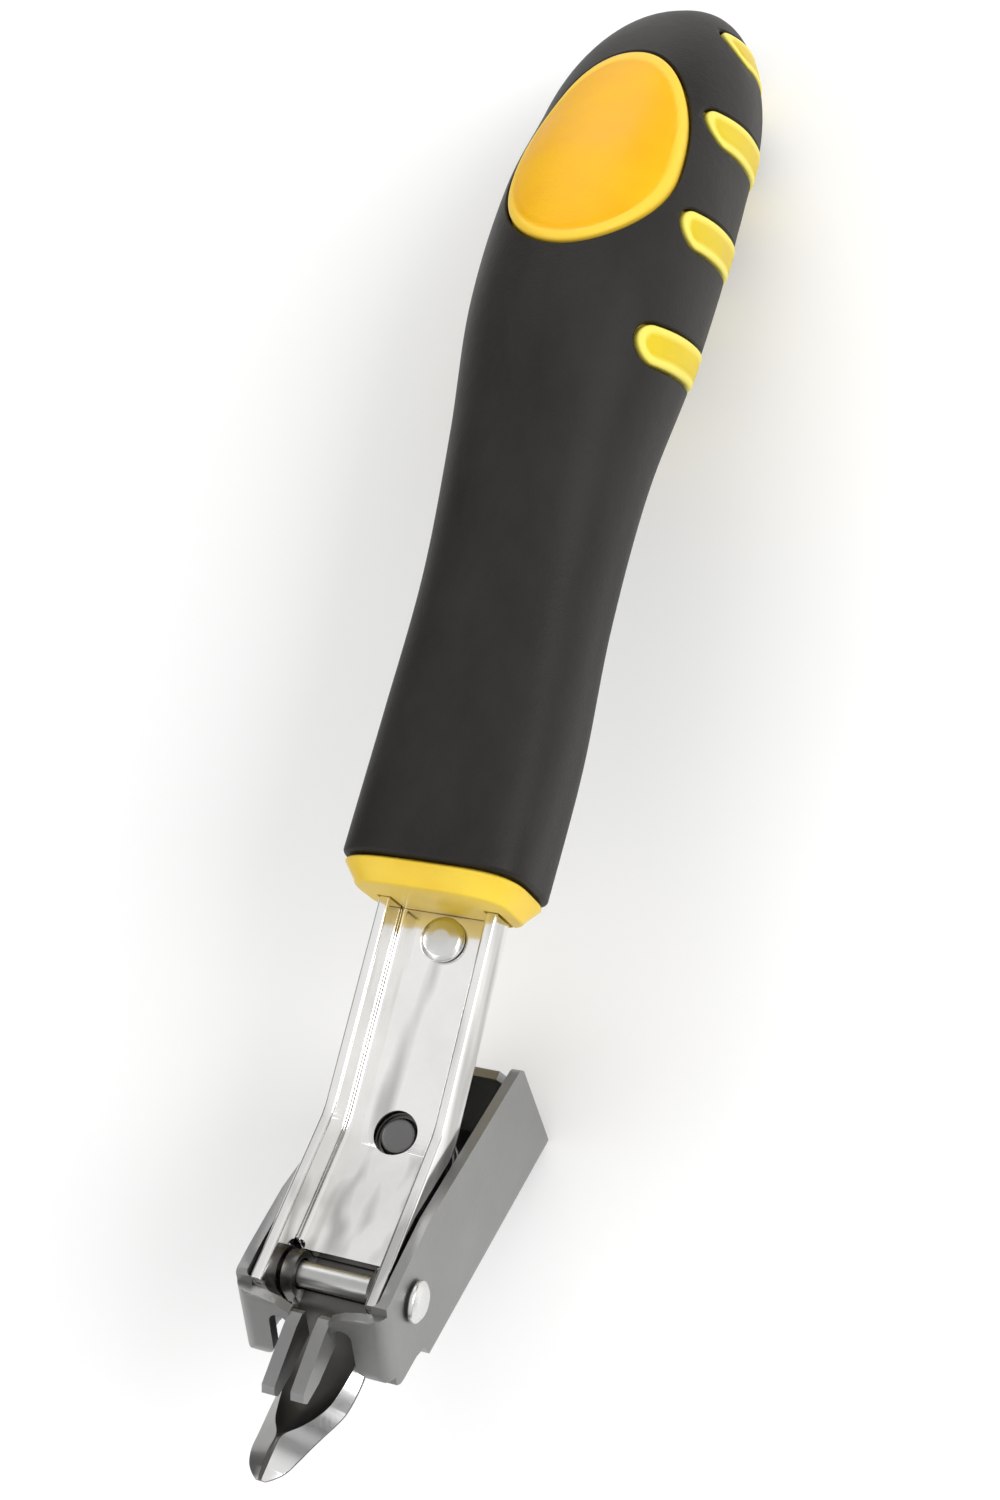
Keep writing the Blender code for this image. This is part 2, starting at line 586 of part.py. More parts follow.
def make_spring(parent):
    """A compression coil between the two studs, with its last turns lying flat."""
    look = material("spring_steel", (0.35, 0.35, 0.36), 0.3, 1.0)
    curve = bpy.data.curves.new("return_spring", "CURVE")
    curve.dimensions = "3D"
    curve.bevel_depth = SPRING_WIRE * MM
    curve.bevel_resolution = 1
    curve.use_fill_caps = True
    count = int(SPRING_TURNS * 14)
    spline = curve.splines.new("POLY")
    spline.points.add(count)
    for i in range(count + 1):
        part = i / count
        turn = 2 * math.pi * SPRING_TURNS * part
        rest = 0.75  # turns that lie flat at each end
        free = SPRING_TURNS - 2 * rest
        t = min(max((SPRING_TURNS * part - rest) / free, 0.0), 1.0)
        settle = 2 * SPRING_WIRE * rest / (spring_ends()[1] - spring_ends()[0]).length
        t = settle * min(SPRING_TURNS * part / rest, 1.0) + (1 - 2 * settle) * t
        t += settle * min(max(SPRING_TURNS * (part - 1) / rest + 1, 0.0), 1.0)
        point, slope = spring_axis(t)
        side = Vector((1.0, 0.0, 0.0))
        up = slope.cross(side)
        place = point + (side * math.cos(turn) + up * math.sin(turn)) * SPRING_RADIUS
        spline.points[i].co = (*(place * MM), 1.0)
    curve.materials.append(look)
    obj = bpy.data.objects.new("return_spring", curve)
    bpy.context.scene.collection.objects.link(obj)
    obj.parent = parent


def make_pin_and_stud(parent):
    """The domed pivot pin through both pairs of walls, and the stud that holds the spring on the web."""
    look = material("pin_steel", (0.70, 0.70, 0.69), 0.22, 1.0)
    reach = LEVER_OUTER + GAP
    half = [(PIN_RADIUS, reach), (2.5, reach), (2.4, reach + 0.5), (1.7, reach + 0.95), (0.8, reach + 1.15)]
    profile = [(0.0, -reach - 1.15)] + [(r, -a) for r, a in reversed(half)] + half + [(0.0, reach + 1.15)]
    new_object("pivot_pin", turned(profile, (0.0, *PIVOT), (1, 0, 0), 24), look, parent)
    sheet = LEVER_SHEET
    top = GAP + SEAT_SHEET_LOWER
    stud = [(0.0, -sheet + 0.1), (PIN_RADIUS, -sheet + 0.1), (PIN_RADIUS, GAP), (SEAT_RADIUS, GAP)]
    stud += [(SEAT_RADIUS, top), (STUD_RADIUS, top), (STUD_RADIUS, 2.6), (STUD_RADIUS - 0.5, 3.1), (0.0, 3.1)]
    foot = Vector((0.0, *lever(*SPRING_FOOT)))
    new_object("lever_stud", turned(stud, foot, web_normal(), 24), look, parent)


# ---------------------------------------------------------------- laying the tool down


def lay_down():
    """An empty that turns the tool about X until the heel and the belly share one plane, at Z = 0."""
    heel = lever(HEEL_U, WEB_V)
    belly = [grip_rings(SLEEVE_START, PAD_PROUD)[0][k] for k in range(25)]
    lowest = [min(ring, key=lambda point: point[2]) for ring in belly]
    tilt = min(math.atan2(z - heel[1], y - heel[0]) for _, y, z in lowest if y > 100)
    turn = Matrix.Rotation(-tilt, 4, "X")
    base = turn @ Vector((0.0, *heel))
    ends = [turn @ Vector((0.0, *point)) for point in (lower(42.5, -0.05), (176.5, -9.9))]
    middle = (ends[0].y + ends[1].y) / 2
    stand = bpy.data.objects.new("lying_tool", None)
    bpy.context.scene.collection.objects.link(stand)
    stand.rotation_euler = (-tilt, 0.0, 0.0)
    stand.location = (0.0, -middle * MM, -base.z * MM)
    return stand


def main():
    clear_scene()
    tool = lay_down()
    make_sleeve(tool)
    make_core(tool)
    make_pads(tool)
    make_shank(tool)
    make_blade(tool)
    make_rivets(tool)
    make_lever(tool)
    make_spring(tool)
    make_pin_and_stud(tool)


main()
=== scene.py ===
# Looks of a heavy-duty staple remover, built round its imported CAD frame.
#
# Shapes are worked out in the tool's own frame, in millimetres: X along the hinge, Y from the jaws to the
# handle's butt, Z out of the open side of the shank, with the origin where the back of the shank bends.
# TOOL carries that frame to where the CAD model lies, found from its hinge and from the flat heel.

import json
import math

import bmesh
import bpy
from mathutils import Matrix, Vector


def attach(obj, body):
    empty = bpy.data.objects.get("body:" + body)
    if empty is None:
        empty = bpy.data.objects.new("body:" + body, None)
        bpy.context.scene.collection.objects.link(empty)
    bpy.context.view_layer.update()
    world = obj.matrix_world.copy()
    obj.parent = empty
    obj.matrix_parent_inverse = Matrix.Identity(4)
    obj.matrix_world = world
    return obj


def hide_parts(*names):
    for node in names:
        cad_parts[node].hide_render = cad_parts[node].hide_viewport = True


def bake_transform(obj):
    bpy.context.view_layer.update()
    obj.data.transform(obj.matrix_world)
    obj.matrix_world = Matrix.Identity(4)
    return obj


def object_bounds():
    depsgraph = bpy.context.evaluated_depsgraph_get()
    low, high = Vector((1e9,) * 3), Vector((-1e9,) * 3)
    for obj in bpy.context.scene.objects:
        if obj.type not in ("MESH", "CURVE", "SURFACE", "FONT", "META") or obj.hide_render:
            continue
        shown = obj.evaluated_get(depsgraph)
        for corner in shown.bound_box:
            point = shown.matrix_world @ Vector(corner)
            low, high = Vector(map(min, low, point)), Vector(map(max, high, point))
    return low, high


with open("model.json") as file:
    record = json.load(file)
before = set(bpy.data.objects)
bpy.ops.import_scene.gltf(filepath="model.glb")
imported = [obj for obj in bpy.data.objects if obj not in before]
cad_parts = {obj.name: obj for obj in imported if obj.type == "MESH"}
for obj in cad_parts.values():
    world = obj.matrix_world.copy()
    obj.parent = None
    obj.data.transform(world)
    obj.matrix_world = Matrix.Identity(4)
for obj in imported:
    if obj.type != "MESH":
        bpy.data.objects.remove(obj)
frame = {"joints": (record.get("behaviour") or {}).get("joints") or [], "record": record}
CAD_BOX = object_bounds()

MM = 0.001
GAP = 0.3  # clearance between pieces

# Handle: distance along the tool, half width, half depth, centre, corner exponent of the section.
GRIP_STATIONS = (
    (31.0, 12.4, 9.2, 6.0, 3.8),
    (50.0, 12.6, 10.4, 4.8, 3.2),
    (70.0, 12.3, 11.3, 5.2, 2.7),
    (90.0, 13.4, 13.1, 6.1, 2.4),
    (110.0, 15.6, 16.1, 5.4, 2.3),
    (130.0, 16.1, 16.8, 2.9, 2.3),
    (145.0, 15.4, 16.0, -0.8, 2.3),
)
BUTT_LENGTH, BUTT_DROOP = 31.5, 0.29
SLEEVE_START, SLEEVE_WALL = 31.3, 1.6
PAD_PROUD = 0.3
COLLAR_BOTTOM, COLLAR_TAPER, COLLAR_INSET = 28.0, 1.5, 0.5
TONGUE_END, TONGUE_HALF, TONGUE_BACK = 19.5, 5.5, 2.6  # the yellow tongue behind the shank
THUMB_LOW, THUMB_WIDE, THUMB_HIGH, THUMB_HALF = 114.5, 130.0, 153.5, 12.0
FINGER_ROWS = ((103.2, 16.4), (122.4, 14.4), (141.6, 11.0), (161.6, 3.9))
FINGER_HALF, FINGER_LEAN = 2.9, math.radians(20.0)
FINGER_LEFT_DROP = 9.0  # how much lower the bands end on the left side

# Shank and fixed jaw.
SHANK_HALF, SHANK_DEPTH, SHANK_SHEET, SHANK_TOP = 8.0, 6.5, 1.5, 96.0
SHANK_BEND, BEND_RADIUS = math.radians(20.2), 14.0
SHANK_END, FLOOR_END = 23.4, 16.8
PIN_ALONG, PIN_UP, PIN_RADIUS = 19.5, 0.8, 1.5
EAR_RADIUS, NOSE_RADIUS = 4.4, 5.7
HANDLE_RIVET_Y = 24.7
STUD_RADIUS, STUD_HOLE_RADIUS = 2.2, 2.8
SEAT_RADIUS = 4.2  # the discs that the spring stands on
SEAT_SHEET_UPPER, SEAT_SHEET_LOWER = 0.9, 0.6
BLADE_HALF, BLADE_SHEET, BLADE_TOP = 5.2, 1.8, 8.0

# Lever: u runs from the pivot along the web to the heel, v is square to it, towards the shank.
LEVER_ANGLE = math.radians(-41.5)
LEVER_SHEET, LEVER_INNER = 1.3, SHANK_HALF + GAP
LEVER_OUTER = LEVER_INNER + LEVER_SHEET
WEB_V, HEEL_U, WEB_START, TAB_U = -11.5, 42.1, 5.3, -7.3
CREST = (35.6, 6.8)
PRONG_GAP, PRONG_SHEET = 1.0, 1.6
SPRING_RADIUS, SPRING_WIRE, SPRING_TURNS = 3.6, 0.55, 6.5
SPRING_FOOT = (26.5, WEB_V + LEVER_SHEET)


# ---------------------------------------------------------------- frames


def lower(along, up):
    """(y, z) on the shank's lower section: distance below the bend, height above its back."""
    y = -along * math.cos(SHANK_BEND) + up * math.sin(SHANK_BEND)
    return y, along * math.sin(SHANK_BEND) + up * math.cos(SHANK_BEND)


PIVOT = lower(PIN_ALONG, PIN_UP)


def lever(u, v):
    """(y, z) of a point in the lever's frame, whose origin is the pivot."""
    y = PIVOT[0] + u * math.cos(LEVER_ANGLE) - v * math.sin(LEVER_ANGLE)
    return y, PIVOT[1] + u * math.sin(LEVER_ANGLE) + v * math.cos(LEVER_ANGLE)


WEB_NORMAL = Vector((0.0, -math.sin(LEVER_ANGLE), math.cos(LEVER_ANGLE)))


def tool_matrix():
    """Millimetres of the tool's frame to metres of the CAD frame, from the hinge and the heel's flat face."""
    hinge = Vector(frame["joints"][0]["pos_m"])
    heel = Vector(frame["record"]["mounts"][0]["axis"])
    tilt = math.atan2(heel.z, heel.y) - math.atan2(-WEB_NORMAL.z, -WEB_NORMAL.y)
    back = Matrix.Translation((0.0, -PIVOT[0] * MM, -PIVOT[1] * MM))
    return Matrix.Translation(hinge) @ Matrix.Rotation(tilt, 4, "X") @ back @ Matrix.Scale(MM, 4)


TOOL = tool_matrix()


# ---------------------------------------------------------------- mesh helpers


def new_object(name, bm):
    """An object from a bmesh in the tool's frame."""
    bmesh.ops.transform(bm, matrix=TOOL, verts=bm.verts)
    bmesh.ops.recalc_face_normals(bm, faces=bm.faces)
    mesh = bpy.data.meshes.new(name)
    bm.to_mesh(mesh)
    bm.free()
    obj = bpy.data.objects.new(name, mesh)
    bpy.context.scene.collection.objects.link(obj)
    return obj


def combine(obj, other, operation):
    """Applies a Boolean with another object, which goes."""
    step = obj.modifiers.new("cut", "BOOLEAN")
    step.object, step.operation, step.solver = other, operation, "EXACT"
    apply_modifiers(obj)
    bpy.data.objects.remove(other)


def carve(obj, cutters, operation="DIFFERENCE"):
    """Applies a Boolean with each bmesh in turn."""
    for bm in cutters:
        combine(obj, new_object("cutter", bm), operation)


def apply_modifiers(obj):
    bpy.context.view_layer.update()
    graph = bpy.context.evaluated_depsgraph_get()
    mesh = bpy.data.meshes.new_from_object(obj.evaluated_get(graph))
    obj.modifiers.clear()
    obj.data = mesh


def soften(obj, width, segments, angle):
    """Rounds the edges that are sharper than an angle."""
    weld = obj.modifiers.new("weld", "WELD")
    weld.merge_threshold = 0.00001
    step = obj.modifiers.new("edges", "BEVEL")
    step.width, step.segments = width * MM, segments
    step.limit_method, step.angle_limit = "ANGLE", math.radians(angle)
    step.use_clamp_overlap = True
    apply_modifiers(obj)


def finish_piece(obj, look, body, nodes, smooth=35.0, flat=False):
    """Material, shading, body and what the piece stands for. Flat keeps the large faces' shading level.

    The body is None for a piece that is left unattached to any body."""
    obj.data.materials.clear()
    obj.data.materials.append(look)
    obj.data.shade_smooth()
    obj.data.set_sharp_from_angle(angle=math.radians(smooth))
    if flat:
        step = obj.modifiers.new("normals", "WEIGHTED_NORMAL")
        step.keep_sharp, step.weight = True, 80
        apply_modifiers(obj)
    if body:
        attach(obj, body)
    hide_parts(*nodes)


def bridge(bm, loops):
    """Faces between each loop of vertices and the next."""
    count = len(loops[0])
    for low, high in zip(loops, loops[1:]):
        for i in range(count):
            j = (i + 1) % count
            bm.faces.new((low[i], low[j], high[j], high[i]))


def fan(bm, loop, tip):
    """Faces from a loop of vertices to one vertex."""
    for i in range(len(loop)):
        bm.faces.new((loop[i], loop[(i + 1) % len(loop)], tip))


def loft(rings, pole=None, start_pole=None):
    """A closed solid through rings of equal length, each end capped by one face or run to a pole."""
    bm = bmesh.new()
    loops = [[bm.verts.new(point) for point in ring] for ring in rings]
    bridge(bm, loops)
    for loop, tip in ((loops[0], start_pole), (loops[-1], pole)):
        if tip is None:
            bm.faces.new(loop)
        else:
            fan(bm, loop, bm.verts.new(tip))
    return bm


def prism_x(outline, x0, x1):
    return loft([[(x, y, z) for y, z in outline] for x in (x0, x1)])


def lever_prism(outline, x0, x1):
    return prism_x([lever(u, v) for u, v in outline], min(x0, x1), max(x0, x1))


def arc(centre, radius, start, end, steps):
    turn = [math.radians(start + (end - start) * i / steps) for i in range(steps + 1)]
    return [(centre[0] + radius * math.cos(a), centre[1] + radius * math.sin(a)) for a in turn]


def rounded(points, radius, steps=4):
    """A turned profile's (radius, along) corners, each inner one replaced by a small arc."""
    out = [points[0]]
    for before, corner, after in zip(points, points[1:], points[2:]):
        a, b, c = Vector(before), Vector(corner), Vector(after)
        reach = min(radius, (a - b).length * 0.45, (c - b).length * 0.45)
        start, end = b + (a - b).normalized() * reach, b + (c - b).normalized() * reach
        for i in range(steps + 1):
            t = i / steps
            out.append(tuple((1 - t) ** 2 * start + 2 * t * (1 - t) * b + t**2 * end))
    return out + [points[-1]]


def turned(profile, start, direction, segments=64, edge=0.15):
    """A solid of revolution from (radius, along) corners that begin and end on the axis."""
    points = rounded(profile, edge) if edge else list(profile)
    rings = []
    for radius, along in points[1:-1]:
        rings.append([(a, b, along) for a, b in arc((0, 0), radius, 0, 360 - 360 / segments, segments - 1)])
    bm = loft(rings, (0, 0, points[-1][1]), (0, 0, points[0][1]))
    turn = Vector(direction).to_track_quat("Z", "Y").to_matrix().to_4x4()
    bmesh.ops.transform(bm, matrix=Matrix.Translation(start) @ turn, verts=bm.verts)
    return bm


def cylinder(radius, start, direction, length, segments=48):
    return turned(((0, 0), (radius, 0), (radius, length), (0, length)), start, direction, segments, 0)


def pivot_hole():
    return cylinder(PIN_RADIUS + GAP, (-12.0, *PIVOT), (1, 0, 0), 24.0)


def rivet_hole():
    return cylinder(PIN_RADIUS + GAP, (0.0, HANDLE_RIVET_Y, -5.0), (0, 0, 1), 8.0)


def patch_solid(top, loops, bottom):
    """A closed solid between two grids of points, with loops of points round its side from bottom to top."""
    bm = bmesh.new()
    grids = [[[bm.verts.new(point) for point in row] for row in grid] for grid in (bottom, top)]
    for grid in grids:
        for low, high in zip(grid, grid[1:]):
            for j in range(len(low) - 1):
                bm.faces.new((low[j], low[j + 1], high[j + 1], high[j]))
    middle = [[bm.verts.new(point) for point in loop] for loop in loops]
    bridge(bm, [rim(grids[0])] + middle + [rim(grids[1])])
    return bm


def rim(grid):
    """The outer loop of a grid, in order."""
    right = [row[-1] for row in grid[1:-1]]
    left = [row[0] for row in grid[1:-1]]
    return list(grid[0]) + right + list(reversed(grid[-1])) + list(reversed(left))


def mark(obj, name, values):
    """Stores one number a vertex, for the materials to read."""
    attribute = obj.data.attributes.new(name, "FLOAT", "POINT")
    attribute.data.foreach_set("value", values)


# ---------------------------------------------------------------- handle surface


def along_grip(y, column):
    """A smooth curve through one column of GRIP_STATIONS."""
    rows = GRIP_STATIONS
    y = min(max(y, rows[0][0]), rows[-1][0])
    i = min(sum(row[0] <= y for row in rows), len(rows) - 1) - 1

    def slope(k):
        before, after = rows[max(k - 1, 0)], rows[min(k + 1, len(rows) - 1)]
        return (after[column] - before[column]) / (after[0] - before[0])

    span = rows[i + 1][0] - rows[i][0]
    t = (y - rows[i][0]) / span
    start, end = rows[i][column], rows[i + 1][column]
    rise = slope(i) * span * (t - 2 * t**2 + t**3) + slope(i + 1) * span * (t**3 - t**2)
    return start + (end - start) * (3 * t**2 - 2 * t**3) + rise


def section(y, offset):
    """Half width, half depth, centre and exponent of the handle at y, at an offset from its surface."""
    last = GRIP_STATIONS[-1][0]
    half_x, half_z, centre, exponent = (along_grip(y, column) for column in (1, 2, 3, 4))
    if y > last:
        reach = min((y - last) / (BUTT_LENGTH + offset), 1.0)
        shrink = math.sqrt(1 - reach**2)
        centre -= BUTT_DROOP * (y - last)
        return (half_x + offset) * shrink, (half_z + offset) * shrink, centre, exponent
    return half_x + offset, half_z + offset, centre, exponent


def oval_point(y, angle, half_x, half_z, centre, exponent):
    """A point on a superellipse across the handle."""
    c, s = math.cos(angle), math.sin(angle)
    radius = (abs(c) ** exponent + abs(s) ** exponent) ** (-1 / exponent)
    return half_x * radius * c, y, centre + half_z * radius * s


def grip_point(y, angle, offset):
    """A point on the handle, by its angle round the section."""
    return oval_point(y, angle, *section(y, offset))


def grip_front(x, y, offset):
    """Height of the handle's front surface over (x, y)."""
    half_x, half_z, centre, exponent = section(y, offset)
    return centre + half_z * max(1 - abs(x / half_x) ** exponent, 0.0) ** (1 / exponent)


def grip_ring(y, offset, count):
    return [grip_point(y, 2 * math.pi * (i + 0.5) / count, offset) for i in range(count)]


def grip_rings(start, offset, count, steps, dome):
    last = GRIP_STATIONS[-1][0]
    rings = [grip_ring(start + (last - start) * i / steps, offset, count) for i in range(steps)]
    for i in range(dome):
        reach = math.sin(math.pi / 2 * i / dome)
        rings.append(grip_ring(last + (BUTT_LENGTH + offset) * reach, offset, count))
    return rings


def grip_pole(offset):
    last, _, _, centre, _ = GRIP_STATIONS[-1]
    length = BUTT_LENGTH + offset
    return 0.0, last + length, centre - BUTT_DROOP * length


def spread(count, ease):
    """Numbers from -1 to 1, closer together near both ends."""
    out = []
    for i in range(count + 1):
        t = 2 * i / count - 1
        out.append((1 - ease) * t + ease * math.sin(math.pi / 2 * t))
    return out


def thumb_grid(grow, height, steps=44):
    """Points of the thumb window, a square grid mapped onto the egg, at height(depth in from the edge)."""
    grid = []
    for a in spread(steps, 0.85):
        row = []
        for b in spread(steps, 0.85):
            p, q = a * math.sqrt(1 - b * b / 2), b * math.sqrt(1 - a * a / 2)
            reach = (THUMB_HIGH if q > 0 else THUMB_LOW) - THUMB_WIDE
            x = p * (THUMB_HALF + grow)
            y = THUMB_WIDE + q * (abs(reach) + grow)
            inside = (1 - math.hypot(p, q)) * (THUMB_HALF + grow)
            row.append((x, y, grip_front(x, y, height(max(inside, 0.0)))))
        grid.append(row)
    return grid


def finger_grid(row_number, grow, height):
    """Points of a finger band, which wraps under the handle from one side to the other."""
    top_y, top_z = FINGER_ROWS[row_number]
    half = FINGER_HALF + grow
    down = (math.sin(FINGER_LEAN), -math.cos(FINGER_LEAN))
    across = (down[1], -down[0])
    right, left = ((top_y + down[0] * deep, top_z + down[1] * deep)
                   for deep in (FINGER_HALF, FINGER_HALF + FINGER_LEFT_DROP))

    def solve(offset, angle, t):
        y = right[0] - t
        for _ in range(12):
            z = grip_point(y, angle, offset)[2]
            y = right[0] + (t - (z - right[1]) * across[1]) / across[0]
        return grip_point(y, angle, offset)

    def end_angle(top, t):
        """How far round from level the band's rounded end lies, at t across it."""
        ahead = -math.sqrt(max(half**2 - t**2, 0.0))
        y, z = top[0] + down[0] * ahead + across[0] * t, top[1] + down[1] * ahead + across[1] * t
        _, half_z, centre, exponent = section(y, 0.0)
        rise = min(max((z - centre) / half_z, -1.0), 1.0)
        return math.atan2(rise, (1 - abs(rise) ** exponent) ** (1 / exponent))

    ends = [0.0, 0.002, 0.004, 0.007, 0.011, 0.016, 0.022, 0.03]
    stations = ends + [0.03 + 0.94 * i / 60 for i in range(1, 60)] + [1 - e for e in reversed(ends)]
    columns = []
    for part in spread(20, 1.0):
        t = part * half
        start, sweep = end_angle(right, t), math.pi + end_angle(right, t) + end_angle(left, t)
        column = []
        for station in stations:
            angle = start - station * sweep
            x, y, z = solve(0.0, angle, t)
            top = right if x > 0 else left
            length = (y - top[0]) * down[0] + (z - top[1]) * down[1]
            inside = half - (abs(t) if length > 0 else math.hypot(t, length))
            column.append(solve(height(max(inside, 0.0)), angle, t))
        columns.append(column)
    return columns


def finger_grids():
    """finger_grid for each band, as functions of how much it grows and of its height."""
    return [lambda grow, height, row=i: finger_grid(row, grow, height) for i in range(len(FINGER_ROWS))]


PAD_RIM = 0.95  # width of the raised bead round each pad
PAD_ROLL = 0.45  # radius of its outer edge
PAD_CREST = PAD_PROUD - 0.05


def pad_height(inside):
    """Offset of a pad's surface by the distance in from its edge: a rolled edge, a bead, then a low crown."""
    if inside < PAD_ROLL:
        return PAD_CREST - (PAD_ROLL - math.sqrt(max(PAD_ROLL**2 - (PAD_ROLL - inside) ** 2, 0.0)))
    if inside < PAD_RIM:
        return PAD_CREST + 0.05 * math.sin(math.pi * (inside - PAD_ROLL) / (PAD_RIM - PAD_ROLL))
    ease = min((inside - PAD_RIM) / 0.5, 1.0)
    return PAD_CREST - 0.22 * math.sin(math.pi * ease) * (1 - 0.5 * ease) + 0.02 * ease


def make_pads(looks):
    """Thumb pad and four finger pads, which follow the handle and sit in the sleeve's openings."""
    floor = -SLEEVE_WALL
    shapes = [("thumb_inlay", "thumb_pad", "amber_plastic", thumb_grid)]
    for i, grid in enumerate(finger_grids(), 1):
        shapes.append((f"finger_inlay_{i}", f"finger_pad_{i}", "yellow_pad", grid))
    for name, node, slot, grid in shapes:
        top = grid(-GAP, pad_height)
        bm = patch_solid(top, [rim(grid(-GAP, lambda _: -0.8))], grid(-GAP, lambda _: floor))
        depths = []
        grid(-GAP, lambda inside: depths.append(inside) or floor)
        obj = new_object(name, bm)
        # Mask of the pads' painted highlight: the bead and the sides take the paler colour.
        edge = [1.0] * len(obj.data.vertices)
        for k, inside in enumerate(depths):
            edge[len(depths) + k] = min(max((PAD_RIM + 0.25 - inside) / 0.3, 0.0), 1.0)
        mark(obj, "pad_highlight", edge)
        finish_piece(obj, looks[slot], "handle", [node], 60.0)


def window_cutter(grid):
    """Cuts an opening through the sleeve, with its lip rolled over."""
    roll = 0.5
    loops = [rim(grid(0.0, lambda _: -roll))]
    for degrees in (20, 40, 60):
        a = math.radians(degrees)
        offset = -roll * (1 - math.sin(a))
        loops.append(rim(grid(roll * (1 - math.cos(a)), lambda _, up=offset: up)))
    wide = grid(roll * 0.5 + 0.9, lambda _: 1.2)
    return patch_solid(wide, loops, grid(0.0, lambda _: -SLEEVE_WALL - 1.2))


def skin(bm, rings, pole):
    """Faces through rings up to a pole. Returns the first ring's vertices."""
    loops = [[bm.verts.new(point) for point in ring] for ring in rings]
    tip = bm.verts.new(pole)
    bridge(bm, loops)
    fan(bm, loops[-1], tip)
    return loops[0]


def make_sleeve(look):
    """The soft black overmould: one closed skin with a rolled front lip and five openings."""
    count, lip = 128, 0.6
    rolled = []
    for i in range(6):
        a = math.radians(15 * i)
        rolled.append(grip_ring(SLEEVE_START + lip * (1 - math.cos(a)), -lip * (1 - math.sin(a)), count))
    outer = rolled + grip_rings(SLEEVE_START + lip, 0.0, count, 100, 26)
    inner = grip_rings(SLEEVE_START, -SLEEVE_WALL, count, 40, 12)
    bm = bmesh.new()
    bridge(bm, [skin(bm, outer, grip_pole(0.0)), skin(bm, inner, grip_pole(-SLEEVE_WALL))])
    obj = new_object("grip_overmould", bm)
    carve(obj, [window_cutter(grid) for grid in [thumb_grid] + finger_grids()])
    finish_piece(obj, look, "handle", ["grip_sleeve"], 50.0)


def collar_ring(y, inset, count):
    _, half_x, half_z, centre, exponent = GRIP_STATIONS[0]
    oval = (half_x - inset, half_z - inset, centre, exponent)
    return [oval_point(y, 2 * math.pi * (i + 0.5) / count, *oval) for i in range(count)]


def make_core(look):
    """The hard yellow body: the collar, the part inside the sleeve and the tongue behind the shank."""
    count, top, edge = 96, SLEEVE_START - GAP, 0.5
    rings = []
    for i in range(5):
        a = math.pi / 2 * i / 4
        inset = COLLAR_INSET + COLLAR_TAPER + edge * (1 - math.sin(a))
        rings.append(collar_ring(COLLAR_BOTTOM + edge * (1 - math.cos(a)), inset, count))
    for i in range(5):
        a = math.pi / 2 * i / 4
        inset = COLLAR_INSET + edge * (1 - math.cos(a))
        rings.append(collar_ring(top - edge * (1 - math.sin(a)), inset, count))
    core = loft(rings + grip_rings(top, -SLEEVE_WALL - GAP, count, 30, 10), grip_pole(-SLEEVE_WALL - GAP))
    obj = new_object("handle_body", core)
    thick, thin = -TONGUE_BACK, -1.1
    tongue = [(TONGUE_END, -GAP), (TONGUE_END, thick + 0.6), (TONGUE_END + 0.8, thick), (27.0, thick)]
    tongue += [(30.0, thin), (40.0, thin), (40.0, -GAP)]
    carve(obj, [prism_x(tongue, -TONGUE_HALF, TONGUE_HALF)], "UNION")
    outer, inner = SHANK_HALF + GAP, SHANK_HALF - SHANK_SHEET - GAP
    floor, high = SHANK_SHEET + GAP, SHANK_DEPTH + GAP
    channel = ((-outer, -GAP), (outer, -GAP), (outer, high), (inner, high), (inner, floor), (-inner, floor))
    channel += ((-inner, high), (-outer, high))
    pocket = loft([[(x, y, z) for x, z in channel] for y in (10.0, SHANK_TOP + GAP)])
    carve(obj, [pocket, rivet_hole()])
    finish_piece(obj, look, "handle", ["handle_core"], 40.0)


# ---------------------------------------------------------------- shank and fixed jaw


def shank_path(steps=24):
    """Stations down the back of the shank: (y, z, outward y, outward z), round the bend as an arc."""
    tangent = BEND_RADIUS * math.tan(SHANK_BEND / 2)
    stations = []
    for i in range(steps + 1):
        angle = SHANK_BEND * i / steps
        y, z = tangent - BEND_RADIUS * math.sin(angle), BEND_RADIUS * (1 - math.cos(angle))
        stations.append((y, z, math.sin(angle), math.cos(angle)))
    return stations


def channel_section():
    """The channel across, with folded corners and rims rounded by the press."""
    outer, inner, sheet, edge = SHANK_HALF, SHANK_HALF - SHANK_SHEET, SHANK_SHEET, 0.4
    fold, tight = 2.0, 0.7
    right = arc((inner + edge, SHANK_DEPTH - edge), edge, 180, 90, 4)
    right += arc((outer - edge, SHANK_DEPTH - edge), edge, 90, 0, 4)
    right += arc((outer - fold, fold), fold, 0, -90, 10)
    hollow = arc((-inner + tight, sheet + tight), tight, 180, 270, 6)
    left = [(-x, up) for x, up in reversed(right)]
    return right + left + hollow + [(-x, up) for x, up in reversed(hollow)]


def stud_axis():
    half = SHANK_BEND / 2
    return Vector((0.0, math.sin(half), math.cos(half)))


def stud_point(up):
    """A point on the spring stud's axis, by its height above the back of the shank at the bend."""
    sag = BEND_RADIUS * (1 / math.cos(SHANK_BEND / 2) - 1)
    return stud_axis() * (sag + up)


